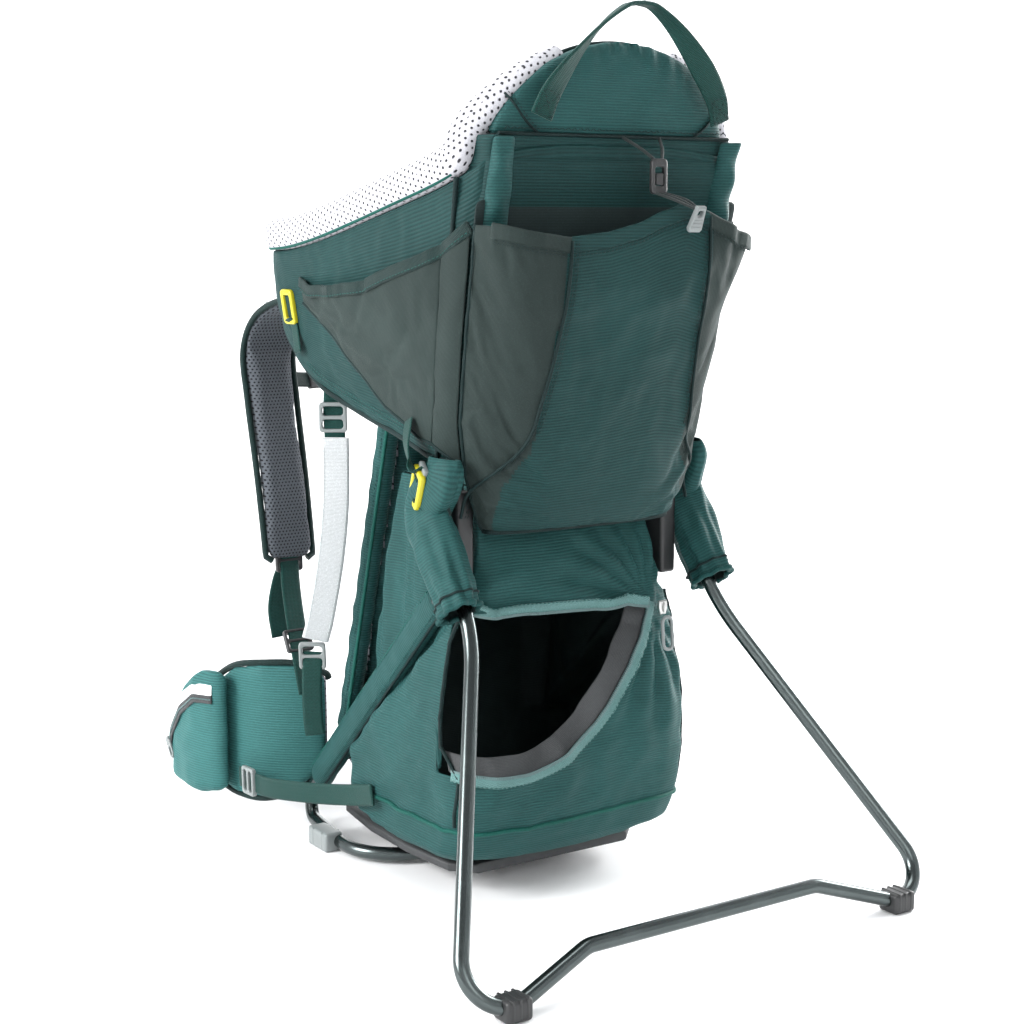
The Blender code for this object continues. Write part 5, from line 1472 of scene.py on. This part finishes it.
def make_zip(m, surface, outline):
    """The open zip: pale tapes with teeth along the mouth's edges and the lining behind them."""
    line = even_path([Vector((x, 0, z)) for x, z in outline], 0.002)
    line = [p for p in line if -0.118 < p.x]
    upper = [p for p in line if p.z > 0.2355 and p.x < 0.0695]
    lower = [p for p in line if p not in upper]

    def on_bag(path, lift):
        return laid_on(surface, [Vector((p.x, bag_front_y(p.x, p.z), p.z)) for p in path], lift)

    for tag, path in (("upper", upper), ("lower", lower)):
        edge = even_path(smooth_path(on_bag(path, 0.0012)[::4], 4), 0.002)
        normals = [tangent(edge, i).cross(Vector((0, -1, 0))).normalized() for i in range(len(edge))]
        tape_rows = []
        for k in range(6):
            shift = -0.0040 + 0.0085 * k / 5
            row = [p + n * shift for p, n in zip(edge, normals)]
            tape_rows.append(laid_on(surface, row, 0.0016) if shift < -0.0005 else row)
        tape = add_piece(f"zip_tape_{tag}", grid_mesh(f"zip_tape_{tag}", tape_rows), m["tape"], "frame")
        thicken(tape, 0.0014, 0.0, 1)
        teeth_verts, teeth_faces = [], []
        spots = even_path([p + n * 0.0046 + Vector((0, -0.0004, 0)) for p, n in zip(edge, normals)], 0.0016)
        for i, place in enumerate(spots):
            along = tangent(spots, i)
            inward = along.cross(Vector((0, -1, 0))).normalized()
            base = len(teeth_verts)
            for a in (-0.00050, 0.00050):
                for b in (-0.0010, 0.0012):
                    for c in (-0.0009, 0.0009):
                        teeth_verts.append(place + along * a + inward * b + Vector((0, c, 0)))
            for quad in ((0, 1, 3, 2), (4, 6, 7, 5), (0, 4, 5, 1), (2, 3, 7, 6), (0, 2, 6, 4), (1, 5, 7, 3)):
                teeth_faces.append(tuple(base + q for q in quad))
        mesh = bpy.data.meshes.new(f"zip_teeth_{tag}")
        mesh.from_pydata(teeth_verts, [], teeth_faces)
        mesh.uv_layers.new(name="UVMap")
        add_piece(mesh.name, mesh, m["tooth"], "frame")
        line_out = laid_on(surface, [p - n * 0.0030 for p, n in zip(edge, normals)], 0.0026)
        stitch_row(f"zip_stitches_{tag}", line_out, m["thread"], "frame")
        if tag == "lower":
            flap = []
            for k in range(9):
                depth = k / 8
                shift = 0.0035 + 0.015 * depth
                flap.append([p + n * shift + Vector((0, 0.0035 + 0.0115 * depth + 0.0016 * depth
                                                     * math.sin(i * 0.22 + 3 * depth), 0))
                             for i, (p, n) in enumerate(zip(edge, normals))])
            lining = add_piece("bag_flap_lining", grid_mesh("bag_flap_lining", flap), m["lining"], "frame")
            thicken(lining, 0.0014, 0.0, 1)
    slider = placed((1, 0, 0), (-0.3, 0, 1), P(0.074, -0.1295, 0.236))
    body_outline = [(-0.0040, 0.0058), (-0.0042, 0.0), (-0.0026, -0.0058), (0.0026, -0.0058), (0.0042, 0.0),
                    (0.0040, 0.0058)]
    plate("zip_slider_body", [body_outline], 0.0038, 0.0012, m["steel"], slider, "zip_slider",
          ["zip_slider"])
    bridge = [slider @ Vector((0, y, z)) for y, z in ((0.0040, 0.0014), (0.0022, 0.0032), (-0.0020, 0.0032),
                                                       (-0.0038, 0.0014))]
    tube_piece("zip_slider_bridge", smooth_path(bridge, 4), 0.0008, m["steel"], "zip_slider", sides=8)
    pull = placed((1, 0, 0), (0, 0.10, 1), P(0.076, -0.1345, 0.2145))
    loop = [rounded_outline(0.0062, 0.015, 0.006), rounded_outline(0.0036, 0.0122, 0.0035)]
    plate("zip_pull_loop", loop, 0.0030, 0.0013, m["grey_plastic"], pull, "zip_pull", ["zip_pull"])


def make_bag_trim(m, surface):
    """The piping round the foot of the bag and over its corner seams, and the board under it."""
    ring = []
    base = bag_ring(0.064, -0.0024)
    for p in base:
        z = 0.0655 + 0.010 * max(0, p.y + 0.02) / 0.09
        ring.append(Vector((p.x, p.y, z)))
    front = sorted((p for p in ring if p.y < 0.03), key=lambda p: math.atan2(p.x, -(p.y + 0.04)))
    front = laid_on(surface, even_path(smooth_path(front[::6] + [front[-1]], 6), 0.004), 0.0006)
    bound_edge("bag_foot_piping", front, m["piping"], "frame", 0.0018)
    for name, side in SIDES:
        line = []
        for j in range(30):
            z = 0.070 + (0.246 - 0.070) * j / 29
            level = bag_ring(z, -0.0022)[:BAG_SPANS + 1]
            point = min(level, key=lambda p: abs(p.y - (interpolate(BAG, z, 1) + 0.016 - CENTRE_Y)) + abs(p.x - 0.12))
            line.append(on_side(point, side))
        line = laid_on(surface, even_path(smooth_path(line[::7] + [line[-1]], 8), 0.004), 0.0006)
        bound_edge(f"bag_corner_piping_{name}", line, m["dark_piping"], "frame", 0.0016)
        stitches = laid_on(surface, [p + Vector((-side * 0.0046, -0.0008, 0)) for p in line], 0.0004)
        stitch_row(f"bag_corner_stitches_{name}", stitches, m["thread"], "frame")
    slab = []
    stations = [(0.135, 0.070), (0.128, 0.088), (0.065, 0.098), (0.000, 0.100), (-0.060, 0.095), (-0.078, 0.078)]
    for y, half in stations:
        slab.append([P(x, y, z) for x, z in
                     ((-half, 0.0195), (-half, 0.0255), (-half + 0.003, 0.0270), (half - 0.003, 0.0270),
                      (half, 0.0255), (half, 0.0195), (half - 0.003, 0.0182), (-half + 0.003, 0.0182))])
    mesh = outward(grid_mesh("base_board", slab, closed=True, caps=True))
    board = add_piece("base_board", mesh, m["rubber"], "frame", ["base_panel"])
    bevel = board.modifiers.new("edge", "BEVEL")
    bevel.width = 0.0012
    bevel.segments = 2
    for number, x in enumerate((-0.060, -0.020, 0.020, 0.060)):
        rib = Matrix.Translation(P(x, 0.028, 0.0180))
        moulding(f"base_rib_{number}", (0.006, 0.160, 0.0028), 0.0012, m["rubber"], rib, "frame")


# ---------------------------------------------------------------- carrying system
def cross_frames(path, across):
    """(place, width direction, height direction) along a path."""
    made = []
    for i, place in enumerate(path):
        along = tangent(path, i)
        wide = Vector(across(i / (len(path) - 1)) if callable(across) else across)
        wide = (wide - along * wide.dot(along)).normalized()
        made.append((place, wide, along.cross(wide)))
    return made


SHOULDER = ((0.046, 0.0560, 0.4430), (0.054, 0.0950, 0.4580), (0.066, 0.1450, 0.4760), (0.078, 0.1950, 0.4840),
            (0.089, 0.2370, 0.4680), (0.095, 0.2540, 0.4350), (0.097, 0.2440, 0.3900), (0.099, 0.2260, 0.3300),
            (0.101, 0.2120, 0.2800), (0.102, 0.2040, 0.2440))


def strap_width(share, ends):
    width = 0.0270 - 0.004 * abs(share - 0.45) - (0.006 if ends else 0)
    return width - 0.008 * max(0, 0.15 - share) / 0.15


def make_shoulder(name, side, m):
    pad = cushion(f"shoulder_pad_{name}", f"shoulder_strap_{name}", [m["strap_mesh"], m["ripstop_yz"]], "harness",
                  voxel=0.0042, cap=0.0035)
    path = even_path(smooth_path(flip(SHOULDER, side), 8), 0.004)
    frames = cross_frames(path, (1, 0, 0))

    def outer_side(centre, normal):
        high = min(frames, key=lambda f: (f[0] - centre).length_squared)[2]
        return 1 if normal.dot(-high) > 0.35 else 0

    faces_by(pad, outer_side)
    for tag, edge in (("inner", -1), ("outer", 1)):
        line = []
        for i, (place, wide, high) in enumerate(frames):
            share = i / (len(frames) - 1)
            line.append(place + wide * edge * (strap_width(share, i in (0, len(frames) - 1)) - 0.0008))
        bound_edge(f"shoulder_binding_{name}_{tag}", line, m["dark_webbing"], "harness", 0.0030)
        inset = []
        for i, (place, wide, high) in enumerate(frames[3:-3]):
            share = (i + 3) / (len(frames) - 1)
            inset.append(place + wide * edge * (strap_width(share, False) - 0.0065) - high * 0.0072)
        stitch_row(f"shoulder_stitches_{name}_{tag}", inset, m["thread"], "harness")
    spine = [place - high * 0.0084 for place, wide, high in frames[len(frames) // 4:]]
    strap_piece(f"shoulder_rail_{name}", spine, 0.016, 0.0018, (1, 0, 0), m["webbing"], "harness")
    lower = [(0.1020, 0.2050, 0.2520), (0.1025, 0.2040, 0.2370), (0.1050, 0.1960, 0.2150), (0.1085, 0.1805, 0.1850),
             (0.1110, 0.1650, 0.1560), (0.1120, 0.1520, 0.1280)]
    webbing = smooth_path(flip(lower, side), 10)
    strap_piece(f"adjuster_webbing_{name}", webbing, 0.0190, 0.0021, (1, 0, 0), m["webbing"], "harness",
                [f"strap_webbing_{name}"])
    for number, index in enumerate((6, 34)):
        matrix = placed((1, 0, 0), tangent(webbing, index), webbing[index] + Vector((0, 0.0008, 0)))
        ladder_lock(f"adjuster_lock_{name}_{number}", 0.027, 0.022, 0.0030, m["black_plastic"], matrix, "harness")
    tail = [webbing[8] + Vector((0, 0.004, 0)), webbing[8] + Vector((side * 0.003, 0.012, -0.018)),
            webbing[8] + Vector((side * 0.006, 0.016, -0.045)), webbing[8] + Vector((side * 0.004, 0.013, -0.072))]
    strap_piece(f"adjuster_tail_{name}", smooth_path(tail, 8), 0.0175, 0.0018, (1, 0.1 * side, 0), m["webbing"],
                "harness")
    chest = [(0.0720, 0.2570, 0.4065), (0.0680, 0.2560, 0.4060), (0.0560, 0.2590, 0.4050), (0.0440, 0.2620, 0.4040),
             (0.0330, 0.2650, 0.4030)]
    body = f"chest_{name}"
    chest_path = smooth_path(flip(chest, side), 6)
    strap_piece(f"chest_webbing_{name}", chest_path[:-4], 0.0145, 0.0022, (0, 0.30, 1), m["dark_webbing"], body,
                [f"chest_strap_{name}"])
    tip = chest_path[-6]
    matrix = placed((-side, 0.25, 0), (0, 0.2, 1), tip)
    if side < 0:
        moulding(f"chest_buckle_{name}", (0.017, 0.0165, 0.0055), 0.0018, m["black_plastic"], matrix, body)
        for k in (-1, 1):
            moulding(f"chest_buckle_prong_{name}_{k + 1}", (0.011, 0.0030, 0.0034), 0.0010, m["black_plastic"],
                     matrix @ Matrix.Translation((0.0085, k * 0.0048, 0)), body)
    else:
        outline = [rounded_outline(0.0095, 0.0085, 0.003), rounded_outline(0.0050, 0.0045, 0.0015)]
        plate(f"chest_buckle_{name}", outline, 0.0060, 0.0018, m["black_plastic"], matrix, body)
    clip = placed((0, 0, 1), (0, 1, 0), chest_path[3])
    moulding(f"chest_slider_{name}", (0.019, 0.0045, 0.0068), 0.0016, m["black_plastic"], clip, body)


HIP_WING = ((0.078, 0.176, 0.052, 0.134), (0.082, 0.1775, 0.046, 0.140), (0.104, 0.1900, 0.026, 0.149),
            (0.128, 0.2100, 0.016, 0.149), (0.1415, 0.2400, 0.016, 0.143), (0.1440, 0.2750, 0.020, 0.126),
            (0.1400, 0.3050, 0.028, 0.108), (0.1330, 0.3260, 0.036, 0.094), (0.1300, 0.3310, 0.042, 0.088))
HIP_POCKET = ((0.232, 0.1560, 0.026, 0.132, 0.0035), (0.238, 0.1595, 0.022, 0.138, 0.0070),
              (0.262, 0.1655, 0.016, 0.137, 0.0110), (0.290, 0.1660, 0.014, 0.120, 0.0120),
              (0.318, 0.1640, 0.014, 0.092, 0.0110), (0.334, 0.1610, 0.016, 0.066, 0.0080),
              (0.339, 0.1590, 0.022, 0.056, 0.0045))


def pocket_face(y, z, side, out=0.0):
    """The outer face of a hip pocket."""
    x, low, high, depth = (interpolate(HIP_POCKET, y, c) for c in (1, 2, 3, 4))
    share = (z - (low + high) / 2) / ((high - low) / 2)
    swell = max(0, 1 - abs(share) ** 4) ** 0.5
    return P(side * (x + depth * (0.25 + 0.75 * swell) + out), y, z)


def make_hip(name, side, m):
    body = f"hip_{name}"
    # The hip pad's outer cloth is the brightened teal: painted light.
    wing = cushion(f"hip_pad_{name}", f"hip_wing_{name}", [m["hip_painted_light_teal"], m["mesh_yz"]], body,
                   voxel=0.0044, cap=0.004)
    faces_by(wing, lambda c, n: 1 if n.x * side < -0.3 else 0)
    for tag, column, lift in (("top", 3, -0.0012), ("foot", 2, 0.0012)):
        edge = [P(side * r[0], r[1], r[column] + lift) for r in HIP_WING]
        bound_edge(f"hip_binding_{name}_{tag}", smooth_path(edge, 6), m["dark_webbing"], body, 0.0032)
    # The pouch is the brightened teal too: painted light.
    pouch = cushion(f"hip_pouch_{name}", f"hip_pocket_{name}", m["hip_painted_light_teal"], body,
                    voxel=0.0044, cap=0.004)
    ripple(pouch, 0.0012, 30, 4 + side)
    band_rows = []
    for k in range(5):
        row = []
        for i in range(25):
            y = 0.240 + 0.088 * i / 24
            z = interpolate([(0.232, 0.121), (0.262, 0.121), (0.290, 0.105), (0.318, 0.078), (0.334, 0.056)], y, 1)
            row.append(pocket_face(y, z + 0.004 - 0.0028 * k, side, 0.0012))
        band_rows.append(row)
    band = add_piece(f"reflective_band_{name}", grid_mesh(f"reflective_band_{name}", band_rows), m["white_band"],
                     body)
    thicken(band, 0.0010, 0.0, 1)
    zip_line = []
    for i in range(33):
        y = 0.240 + 0.093 * i / 32
        z = interpolate([(0.232, 0.112), (0.262, 0.110), (0.290, 0.092), (0.318, 0.064), (0.334, 0.044)], y, 1)
        zip_line.append(pocket_face(y, z, side, 0.0012))
    strap_piece(f"hip_zip_{name}", zip_line, 0.0085, 0.0016, (0, 0.3, 1), m["lining"], body)
    stitch_row(f"hip_zip_teeth_{name}", [p + Vector((side * 0.0012, 0, 0)) for p in zip_line], m["tooth"], body,
               0.0010, 0.0006, 0.0008)
    end = zip_line[-3]
    matrix = placed((0, -0.8 * side, 0.6 * side), (0, -0.6, -0.8), end + Vector((side * 0.0028, 0, 0)))
    plate(f"hip_zip_pull_{name}", [rounded_outline(0.0040, 0.0100, 0.0035),
          [(x, y + 0.003) for x, y in rounded_outline(0.0018, 0.0045, 0.0015)]], 0.0024, 0.0009,
          m["grey_plastic"], matrix @ Matrix.Translation((0, 0.008, 0)), body)
    moulding(f"hip_zip_slider_{name}", (0.0060, 0.0085, 0.0034), 0.0012, m["grey_plastic"], matrix, body)
    belt = [(0.1300, 0.3300, 0.0655), (0.1180, 0.3270, 0.065), (0.1020, 0.3180, 0.064), (0.0850, 0.3120, 0.063),
            (0.0640, 0.3090, 0.062)]
    path = smooth_path(flip(belt, side), 8)
    strap_piece(f"belt_webbing_{name}", path, 0.0240, 0.0024, (0, 0, 1), m["dark_webbing"], body,
                [f"belt_end_{name}"])
    centre = P(side * 0.0520, 0.3074, 0.062)
    matrix = placed((-side, 0, 0), (0, 0, 1), centre)
    if side < 0:
        moulding(f"belt_buckle_{name}", (0.0210, 0.0310, 0.0100), 0.0030, m["black_plastic"], matrix, body)
        for k in (-1, 0, 1):
            moulding(f"belt_prong_{name}_{k + 1}", (0.0130, 0.0052 if k else 0.0040, 0.0052), 0.0016,
                     m["black_plastic"], matrix @ Matrix.Translation((0.0135 if k else 0.0105, k * 0.0095, 0)), body)
    else:
        outline = [rounded_outline(0.0150, 0.0160, 0.005), rounded_outline(0.0060, 0.0085, 0.002)]
        plate(f"belt_buckle_{name}", outline, 0.0105, 0.0030, m["black_plastic"], matrix, body)
    web = [(0.1500, 0.2200, 0.0400), (0.1510, 0.1850, 0.0420), (0.1500, 0.1580, 0.0440), (0.1420, 0.1250, 0.0480),
           (0.1320, 0.0900, 0.0530), (0.1240, 0.0500, 0.0610), (0.1235, 0.0150, 0.0700)]
    path = smooth_path(flip(web, side), 10)
    strap = strap_piece(f"stabiliser_webbing_{name}", path, 0.0190, 0.0020, (0, -0.1, 1), m["webbing"], None)
    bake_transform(strap)
    matrix = placed((0, 0.05 * side, side), (0.02 * side, -1, 0.02), P(side * 0.1525, 0.196, 0.0415))
    ladder_lock(f"stabiliser_lock_{name}", 0.026, 0.024, 0.0032, m["grey_plastic"], matrix, body)


def make_back(m):
    back = cushion("back_cushion", "back_panel", [m["mesh_xz"], m["ripstop_xz"]], "frame",
                   voxel=0.0050, cap=0.005)
    faces_by(back, lambda c, n: 0 if n.y > -0.2 else 1)
    lumbar = cushion("lumbar_cushion", "lumbar_pad", [m["mesh_xz"], m["ripstop_xz"]], "frame",
                     voxel=0.0046, cap=0.004)
    faces_by(lumbar, lambda c, n: 0 if n.y > -0.2 else 1)
    cushion("yoke_pad", "harness_yoke", m["ripstop_xz"], "harness", voxel=0.0046,
            cap=0.003)
    outline = []
    for x, z in rounded_outline(0.050, 0.030, 0.012):
        outline.append(P(x * (1 + 3.0 * (z + 0.01)), 0, 0) + Vector((0, CENTRE_Y, 0.394 + z)))
    line = [Vector((p.x, back_y(p.z) + 0.0305 + 0.0056, p.z)) for p in [*outline, outline[0]]]
    stitch_row("yoke_stitches", line, m["thread"], "harness")
    for name, side in SIDES:
        edge = [Vector((side * h, back_y(z) + 0.0158, z)) for z, h in
                ((0.128, 0.0685), (0.20, 0.0755), (0.30, 0.0735), (0.38, 0.0695), (0.412, 0.063))]
        bound_edge(f"back_binding_{name}", smooth_path(edge, 8), m["dark_webbing"], "frame", 0.0032)
        make_sleeves(name, side, m)


def make_sleeves(name, side, m):
    """The fabric sleeves on a diagonal rail and on the upright behind it."""
    rows = []
    stations = 60
    along = Vector((0, -RAIL_SLOPE, 1)).normalized()
    wide = Vector((side, 0, 0))
    high = along.cross(wide)
    for i in range(stations + 1):
        z = 0.0465 + (0.2495 - 0.0465) * i / stations
        centre = Vector((side * RAIL_X, rail_y(z), z))
        puff = 1 + 0.05 * math.sin(i * 0.9 + side) * math.sin(i * 0.31)
        end = 0.86 if i in (0, stations) else 1
        rows.append([centre + wide * 0.0082 * end * puff * math.copysign(abs(math.cos(a)) ** 0.8, math.cos(a))
                     + high * 0.0129 * end * math.copysign(abs(math.sin(a)) ** 0.9, math.sin(a))
                     for a in (math.tau * k / 24 for k in range(24))])
    mesh = outward(grid_mesh(f"rail_sleeve_cloth_{name}", rows, closed=True, caps=True))
    piece = add_piece(mesh.name, mesh, m["ripstop"], "frame", [f"rail_sleeve_{name}"])
    ripple(piece, 0.0007, 42, 11 + side)
    rounded(piece)
    low = along.cross(Vector((1, 0, 0)))
    for tag, shift, mat in (("upper", -0.0118, m["dark_piping"]), ("lower", 0.0118, m["piping"])):
        line = []
        for i in range(41):
            z = 0.050 + 0.196 * i / 40
            line.append(Vector((side * (RAIL_X + 0.0030), rail_y(z), z)) + low * shift)
        bound_edge(f"rail_piping_{name}_{tag}", line, mat, "frame", 0.0015)
        inner = [p + Vector((side * 0.0040, 0, 0)) - low * shift * 0.22 for p in line]
        stitch_row(f"rail_stitches_{name}_{tag}", inner, m["thread"], "frame")
    back = [Vector((side * (0.089 - 0.005 * (z - 0.084) / 0.356), back_y(z), z)) for z in
            (0.100, 0.104, *[0.11 + 0.28 * i / 50 for i in range(51)], 0.394, 0.397)]
    sleeve = tube_piece(f"upright_sleeve_{name}", back, 0.0093, m["ripstop"], "frame", sides=20,
                        radii=lambda t: 0.0078 if t < 0.004 or t > 0.996 else 0.0091 + 0.0004 * math.sin(t * 70))
    ripple(sleeve, 0.0005, 40, 13 + side)
    seam = [p + Vector((side * 0.0060, -0.0074, 0)) for p in back[3:-3]]
    bound_edge(f"upright_piping_{name}", seam, m["piping"], "frame", 0.0017)
    stitch_row(f"upright_stitches_{name}", [p + Vector((side * 0.0026, 0.0032, 0)) for p in seam], m["thread"],
               "frame")


STIRRUP = ((0.1250, 0.0700, 0.3720), (0.1250, 0.0710, 0.3180), (0.1250, 0.0820, 0.2640),
           (0.1250, 0.1010, 0.2100), (0.1250, 0.1120, 0.1880))


def make_stirrup(name, side, m):
    body = f"stirrup_{name}"
    across = Vector((side * 0.83, 0.556, 0))
    path = smooth_path(flip(STIRRUP, side), 12)
    strap_piece(f"foot_loop_{name}", path, 0.0240, 0.0026, across, m["band"], body,
                [f"stirrup_{name}"], bead=0.0004)
    inner = across.cross(Vector((0, 0, 1))).normalized()
    for number, shift in enumerate((-0.0098, 0.0098)):
        for face, depth in enumerate((-0.0015, 0.0015)):
            line = [p + across * shift + inner * depth for p in path[2:-2]]
            stitch_row(f"foot_loop_stitches_{name}_{number}_{face}", line, m["pale_thread"], body)
    matrix = placed(tuple(across), (0, -0.10, 1), P(side * 0.1250, 0.0730, 0.3890))
    ladder_lock(f"foot_loop_lock_{name}", 0.024, 0.026, 0.0032, m["grey_plastic"], matrix, body,
                [f"stirrup_lock_{name}"])
    low = placed(tuple(across), (0, -0.30, 1), P(side * 0.1250, 0.1180, 0.1720))
    ladder_lock(f"foot_loop_lower_lock_{name}", 0.024, 0.026, 0.0032, m["grey_plastic"], low, body)
    hang = [P(side * 0.1180, 0.0760, 0.4500), P(side * 0.1215, 0.0750, 0.4250), P(side * 0.1232, 0.0745, 0.4040),
            P(side * 0.1240, 0.0735, 0.3900), P(side * 0.1234, 0.0725, 0.3650), P(side * 0.1232, 0.0722, 0.3400)]
    strap_piece(f"foot_loop_hanger_{name}", smooth_path(hang, 8), 0.0180, 0.0016, across, m["webbing"], "frame")
    foot = [P(side * 0.1250, 0.1170, 0.1760), P(side * 0.1250, 0.1190, 0.1600), P(side * 0.1245, 0.1210, 0.1350),
            P(side * 0.1230, 0.1220, 0.1100), P(side * 0.1215, 0.1215, 0.0980)]
    strap_piece(f"foot_loop_tail_{name}", smooth_path(foot, 8), 0.0180, 0.0016, across, m["webbing"], body)


def make_boot(name, side, m):
    """The gathered cloth boot between the cockpit's corner and the kickstand's leg."""
    stations = [(P(side * 0.1215, -0.1010, 0.3720), 0.0075, 0.0190),
                (P(side * 0.1232, -0.1000, 0.3560), 0.0120, 0.0220),
                (kick_point(side * 0.1250, -0.014) + Vector((0, -0.004, 0)), 0.0150, 0.0235),
                (kick_point(side * 0.1262, 0.006), 0.0162, 0.0232),
                (kick_point(side * 0.1268, 0.028), 0.0162, 0.0225),
                (kick_point(side * 0.1268, 0.052), 0.0158, 0.0212),
                (kick_point(side * 0.1268, 0.070), 0.0150, 0.0200),
                (kick_point(side * 0.1268, 0.079), 0.0142, 0.0188)]
    centres = smooth_path([s[0] for s in stations], 7)
    sizes = smooth_path([(s[1], s[2], 0) for s in stations], 7)
    rows = []
    for i, (centre, size) in enumerate(zip(centres, sizes)):
        along = tangent(centres, i)
        wide = (Vector((1, 0, 0)) - along * along.x).normalized()
        high = along.cross(wide)
        share = i / (len(centres) - 1)
        row = []
        for k in range(48):
            a = math.tau * k / 48
            gather = 1 + 0.085 * math.sin(a * 9 + 2 * share) * (0.25 + share ** 2)
            gather += 0.075 * math.sin(a * 3 + 9 * share + side) + 0.04 * math.sin(a * 5 - 14 * share)
            row.append(centre + wide * size.x * math.cos(a) * gather + high * size.y * math.sin(a) * gather)
        rows.append(row)
    mesh = grid_mesh(f"boot_cloth_{name}", rows, closed=True)
    piece = add_piece(mesh.name, outward(mesh), [m["ripstop"], m["lining_teal"]], None,
                      [f"kickstand_boot_{name}"])
    ripple(piece, 0.0011, 36, 20 + side)
    thicken(piece, 0.0016, -1.0, 1)
    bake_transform(piece)
    count = len(centres)
    for number, index in enumerate((count - 2, count - 9)):
        ring = [p + (p - centres[index]).normalized() * 0.0006 for p in rows[index]]
        bound_edge(f"boot_hem_{name}_{number}", [*ring, ring[0], ring[1]], m["dark_piping"] if number else m["plain"],
                   "kickstand", 0.0011 if number else 0.0022)


def make_entry_buckle(name, side, m):
    """The side opening's buckle under the cockpit's hem, with its webbing."""
    outlines = [rounded_outline(0.0140, 0.0150, 0.004), rounded_outline(0.0095, 0.0095, 0.002)]
    matrix = placed((side * 0.35, -1, -0.35), (0, -0.35, 1), P(side * 0.1350, -0.0820, 0.3480))
    plate(f"entry_frame_{name}", outlines, 0.0052, 0.0018, m["yellow_plastic"], matrix, "frame",
          [f"entry_buckle_{name}"])
    upper = [P(side * 0.1290, -0.060, 0.3990), P(side * 0.1345, -0.0655, 0.3810), P(side * 0.1352, -0.0740, 0.3655),
             matrix @ Vector((0, 0.0122, 0.0022 * side)), matrix @ Vector((0, 0.0085, -0.003 * side))]
    strap_piece(f"entry_webbing_{name}", smooth_path(upper, 8), 0.0175, 0.0017, (side * 0.35, -1, -0.35),
                m["webbing"], "frame")
    lower = [matrix @ Vector((0, -0.0080, -0.0026 * side)), matrix @ Vector((0, -0.0124, 0.0022 * side)),
             P(side * 0.1300, -0.0920, 0.3255), P(side * 0.1180, -0.0930, 0.3080)]
    strap_piece(f"entry_tail_{name}", smooth_path(lower, 8), 0.0175, 0.0017, (side * 0.35, -1, -0.35),
                m["webbing"], "frame")
    hook = matrix @ Matrix.Translation((0, 0.0145, 0.0030 * side))
    moulding(f"entry_hook_{name}", (0.0205, 0.0085, 0.0046), 0.0016, m["grey_plastic"], hook, "frame")


# ---------------------------------------------------------------- child's seat
def make_seat(m):
    seat = cushion("seat_cushion", "child_seat", [m["lining"], m["mesh_xz"]], "seat",
                   voxel=0.0044, cap=0.004)
    faces_by(seat, lambda c, n: 0)
    back = cushion("seat_back_cushion", "seat_back", [m["mesh_xz"], m["ripstop_xz"]], "frame",
                   voxel=0.0048, cap=0.005)
    faces_by(back, lambda c, n: 0 if n.y > 0.0 else 1)
    for name, side in SIDES:
        pad = cushion(f"harness_pad_{name}", f"child_harness_{name}", [m["mesh_xz"], m["ripstop_xz"]], "frame",
                      voxel=0.0030, cap=0.002, shrink=0.0006)
        faces_by(pad, lambda c, n: 1 if n.y > 0 else 0)
        strap = [(0.040, -0.011 - PANEL_SLOPE * 0.580 + 0.0250, 0.580), (0.038, -0.1080, 0.535),
                 (0.030, -0.0880, 0.490), (0.0205, -0.0750, 0.456)]
        path = smooth_path(flip(strap, side), 8)
        frames = cross_frames(path, (1, 0, 0))
        face = [p + (h if h.y > 0 else -h) * 0.0049 for p, w, h in frames]
        strap_piece(f"harness_webbing_{name}", face, 0.0150, 0.0016, (1, 0, 0), m["webbing"], "frame")
        for edge in (-1, 1):
            line = [p + w * edge * 0.0145 for p, w, h in frames]
            bound_edge(f"harness_binding_{name}_{edge + 1}", line, m["dark_webbing"], "frame", 0.0018)
    place = placed((1, 0, 0), (0, -0.3, 1), P(0, -0.0700, 0.4310))
    outline = [(-0.0200, 0.0110), (-0.0120, 0.0170), (0.0120, 0.0170), (0.0200, 0.0110), (0.0170, -0.0120),
               (0.0080, -0.0170), (-0.0080, -0.0170), (-0.0170, -0.0120)]
    hole = rounded_outline(0.0086, 0.0086, 0.0012)
    plate("harness_buckle_shell", [list(reversed(outline)), hole], 0.0118, 0.0028, m["black_plastic"], place,
          "frame", ["harness_buckle"])
    moulding("harness_buckle_core", (0.0185, 0.0185, 0.0050), 0.0010, m["black_plastic"],
             place @ Matrix.Translation((0, 0, 0.0030)), "frame")
    moulding("release_button", (0.0160, 0.0160, 0.0040), 0.0012, m["yellow_plastic"],
             place @ Matrix.Translation((0, 0, -0.0075)), "button", ["buckle_button"])
    web = [P(0, -0.0660, 0.4155), P(0, -0.0640, 0.4020), P(0, -0.0700, 0.3900), P(0, -0.0760, 0.3830)]
    strap_piece("crotch_webbing", smooth_path(web, 6), 0.0230, 0.0018, (1, 0, 0), m["webbing"], "frame")


def main():
    make_stage()
    m = make_materials()
    make_frame(m)
    make_cockpit(m)
    make_headrest(m)
    make_outer_pocket(m)
    make_bag(m)
    make_back(m)
    for name, side in SIDES:
        make_shoulder(name, side, m)
        make_hip(name, side, m)
        make_stirrup(name, side, m)
        make_boot(name, side, m)
        make_entry_buckle(name, side, m)
    make_seat(m)


main()
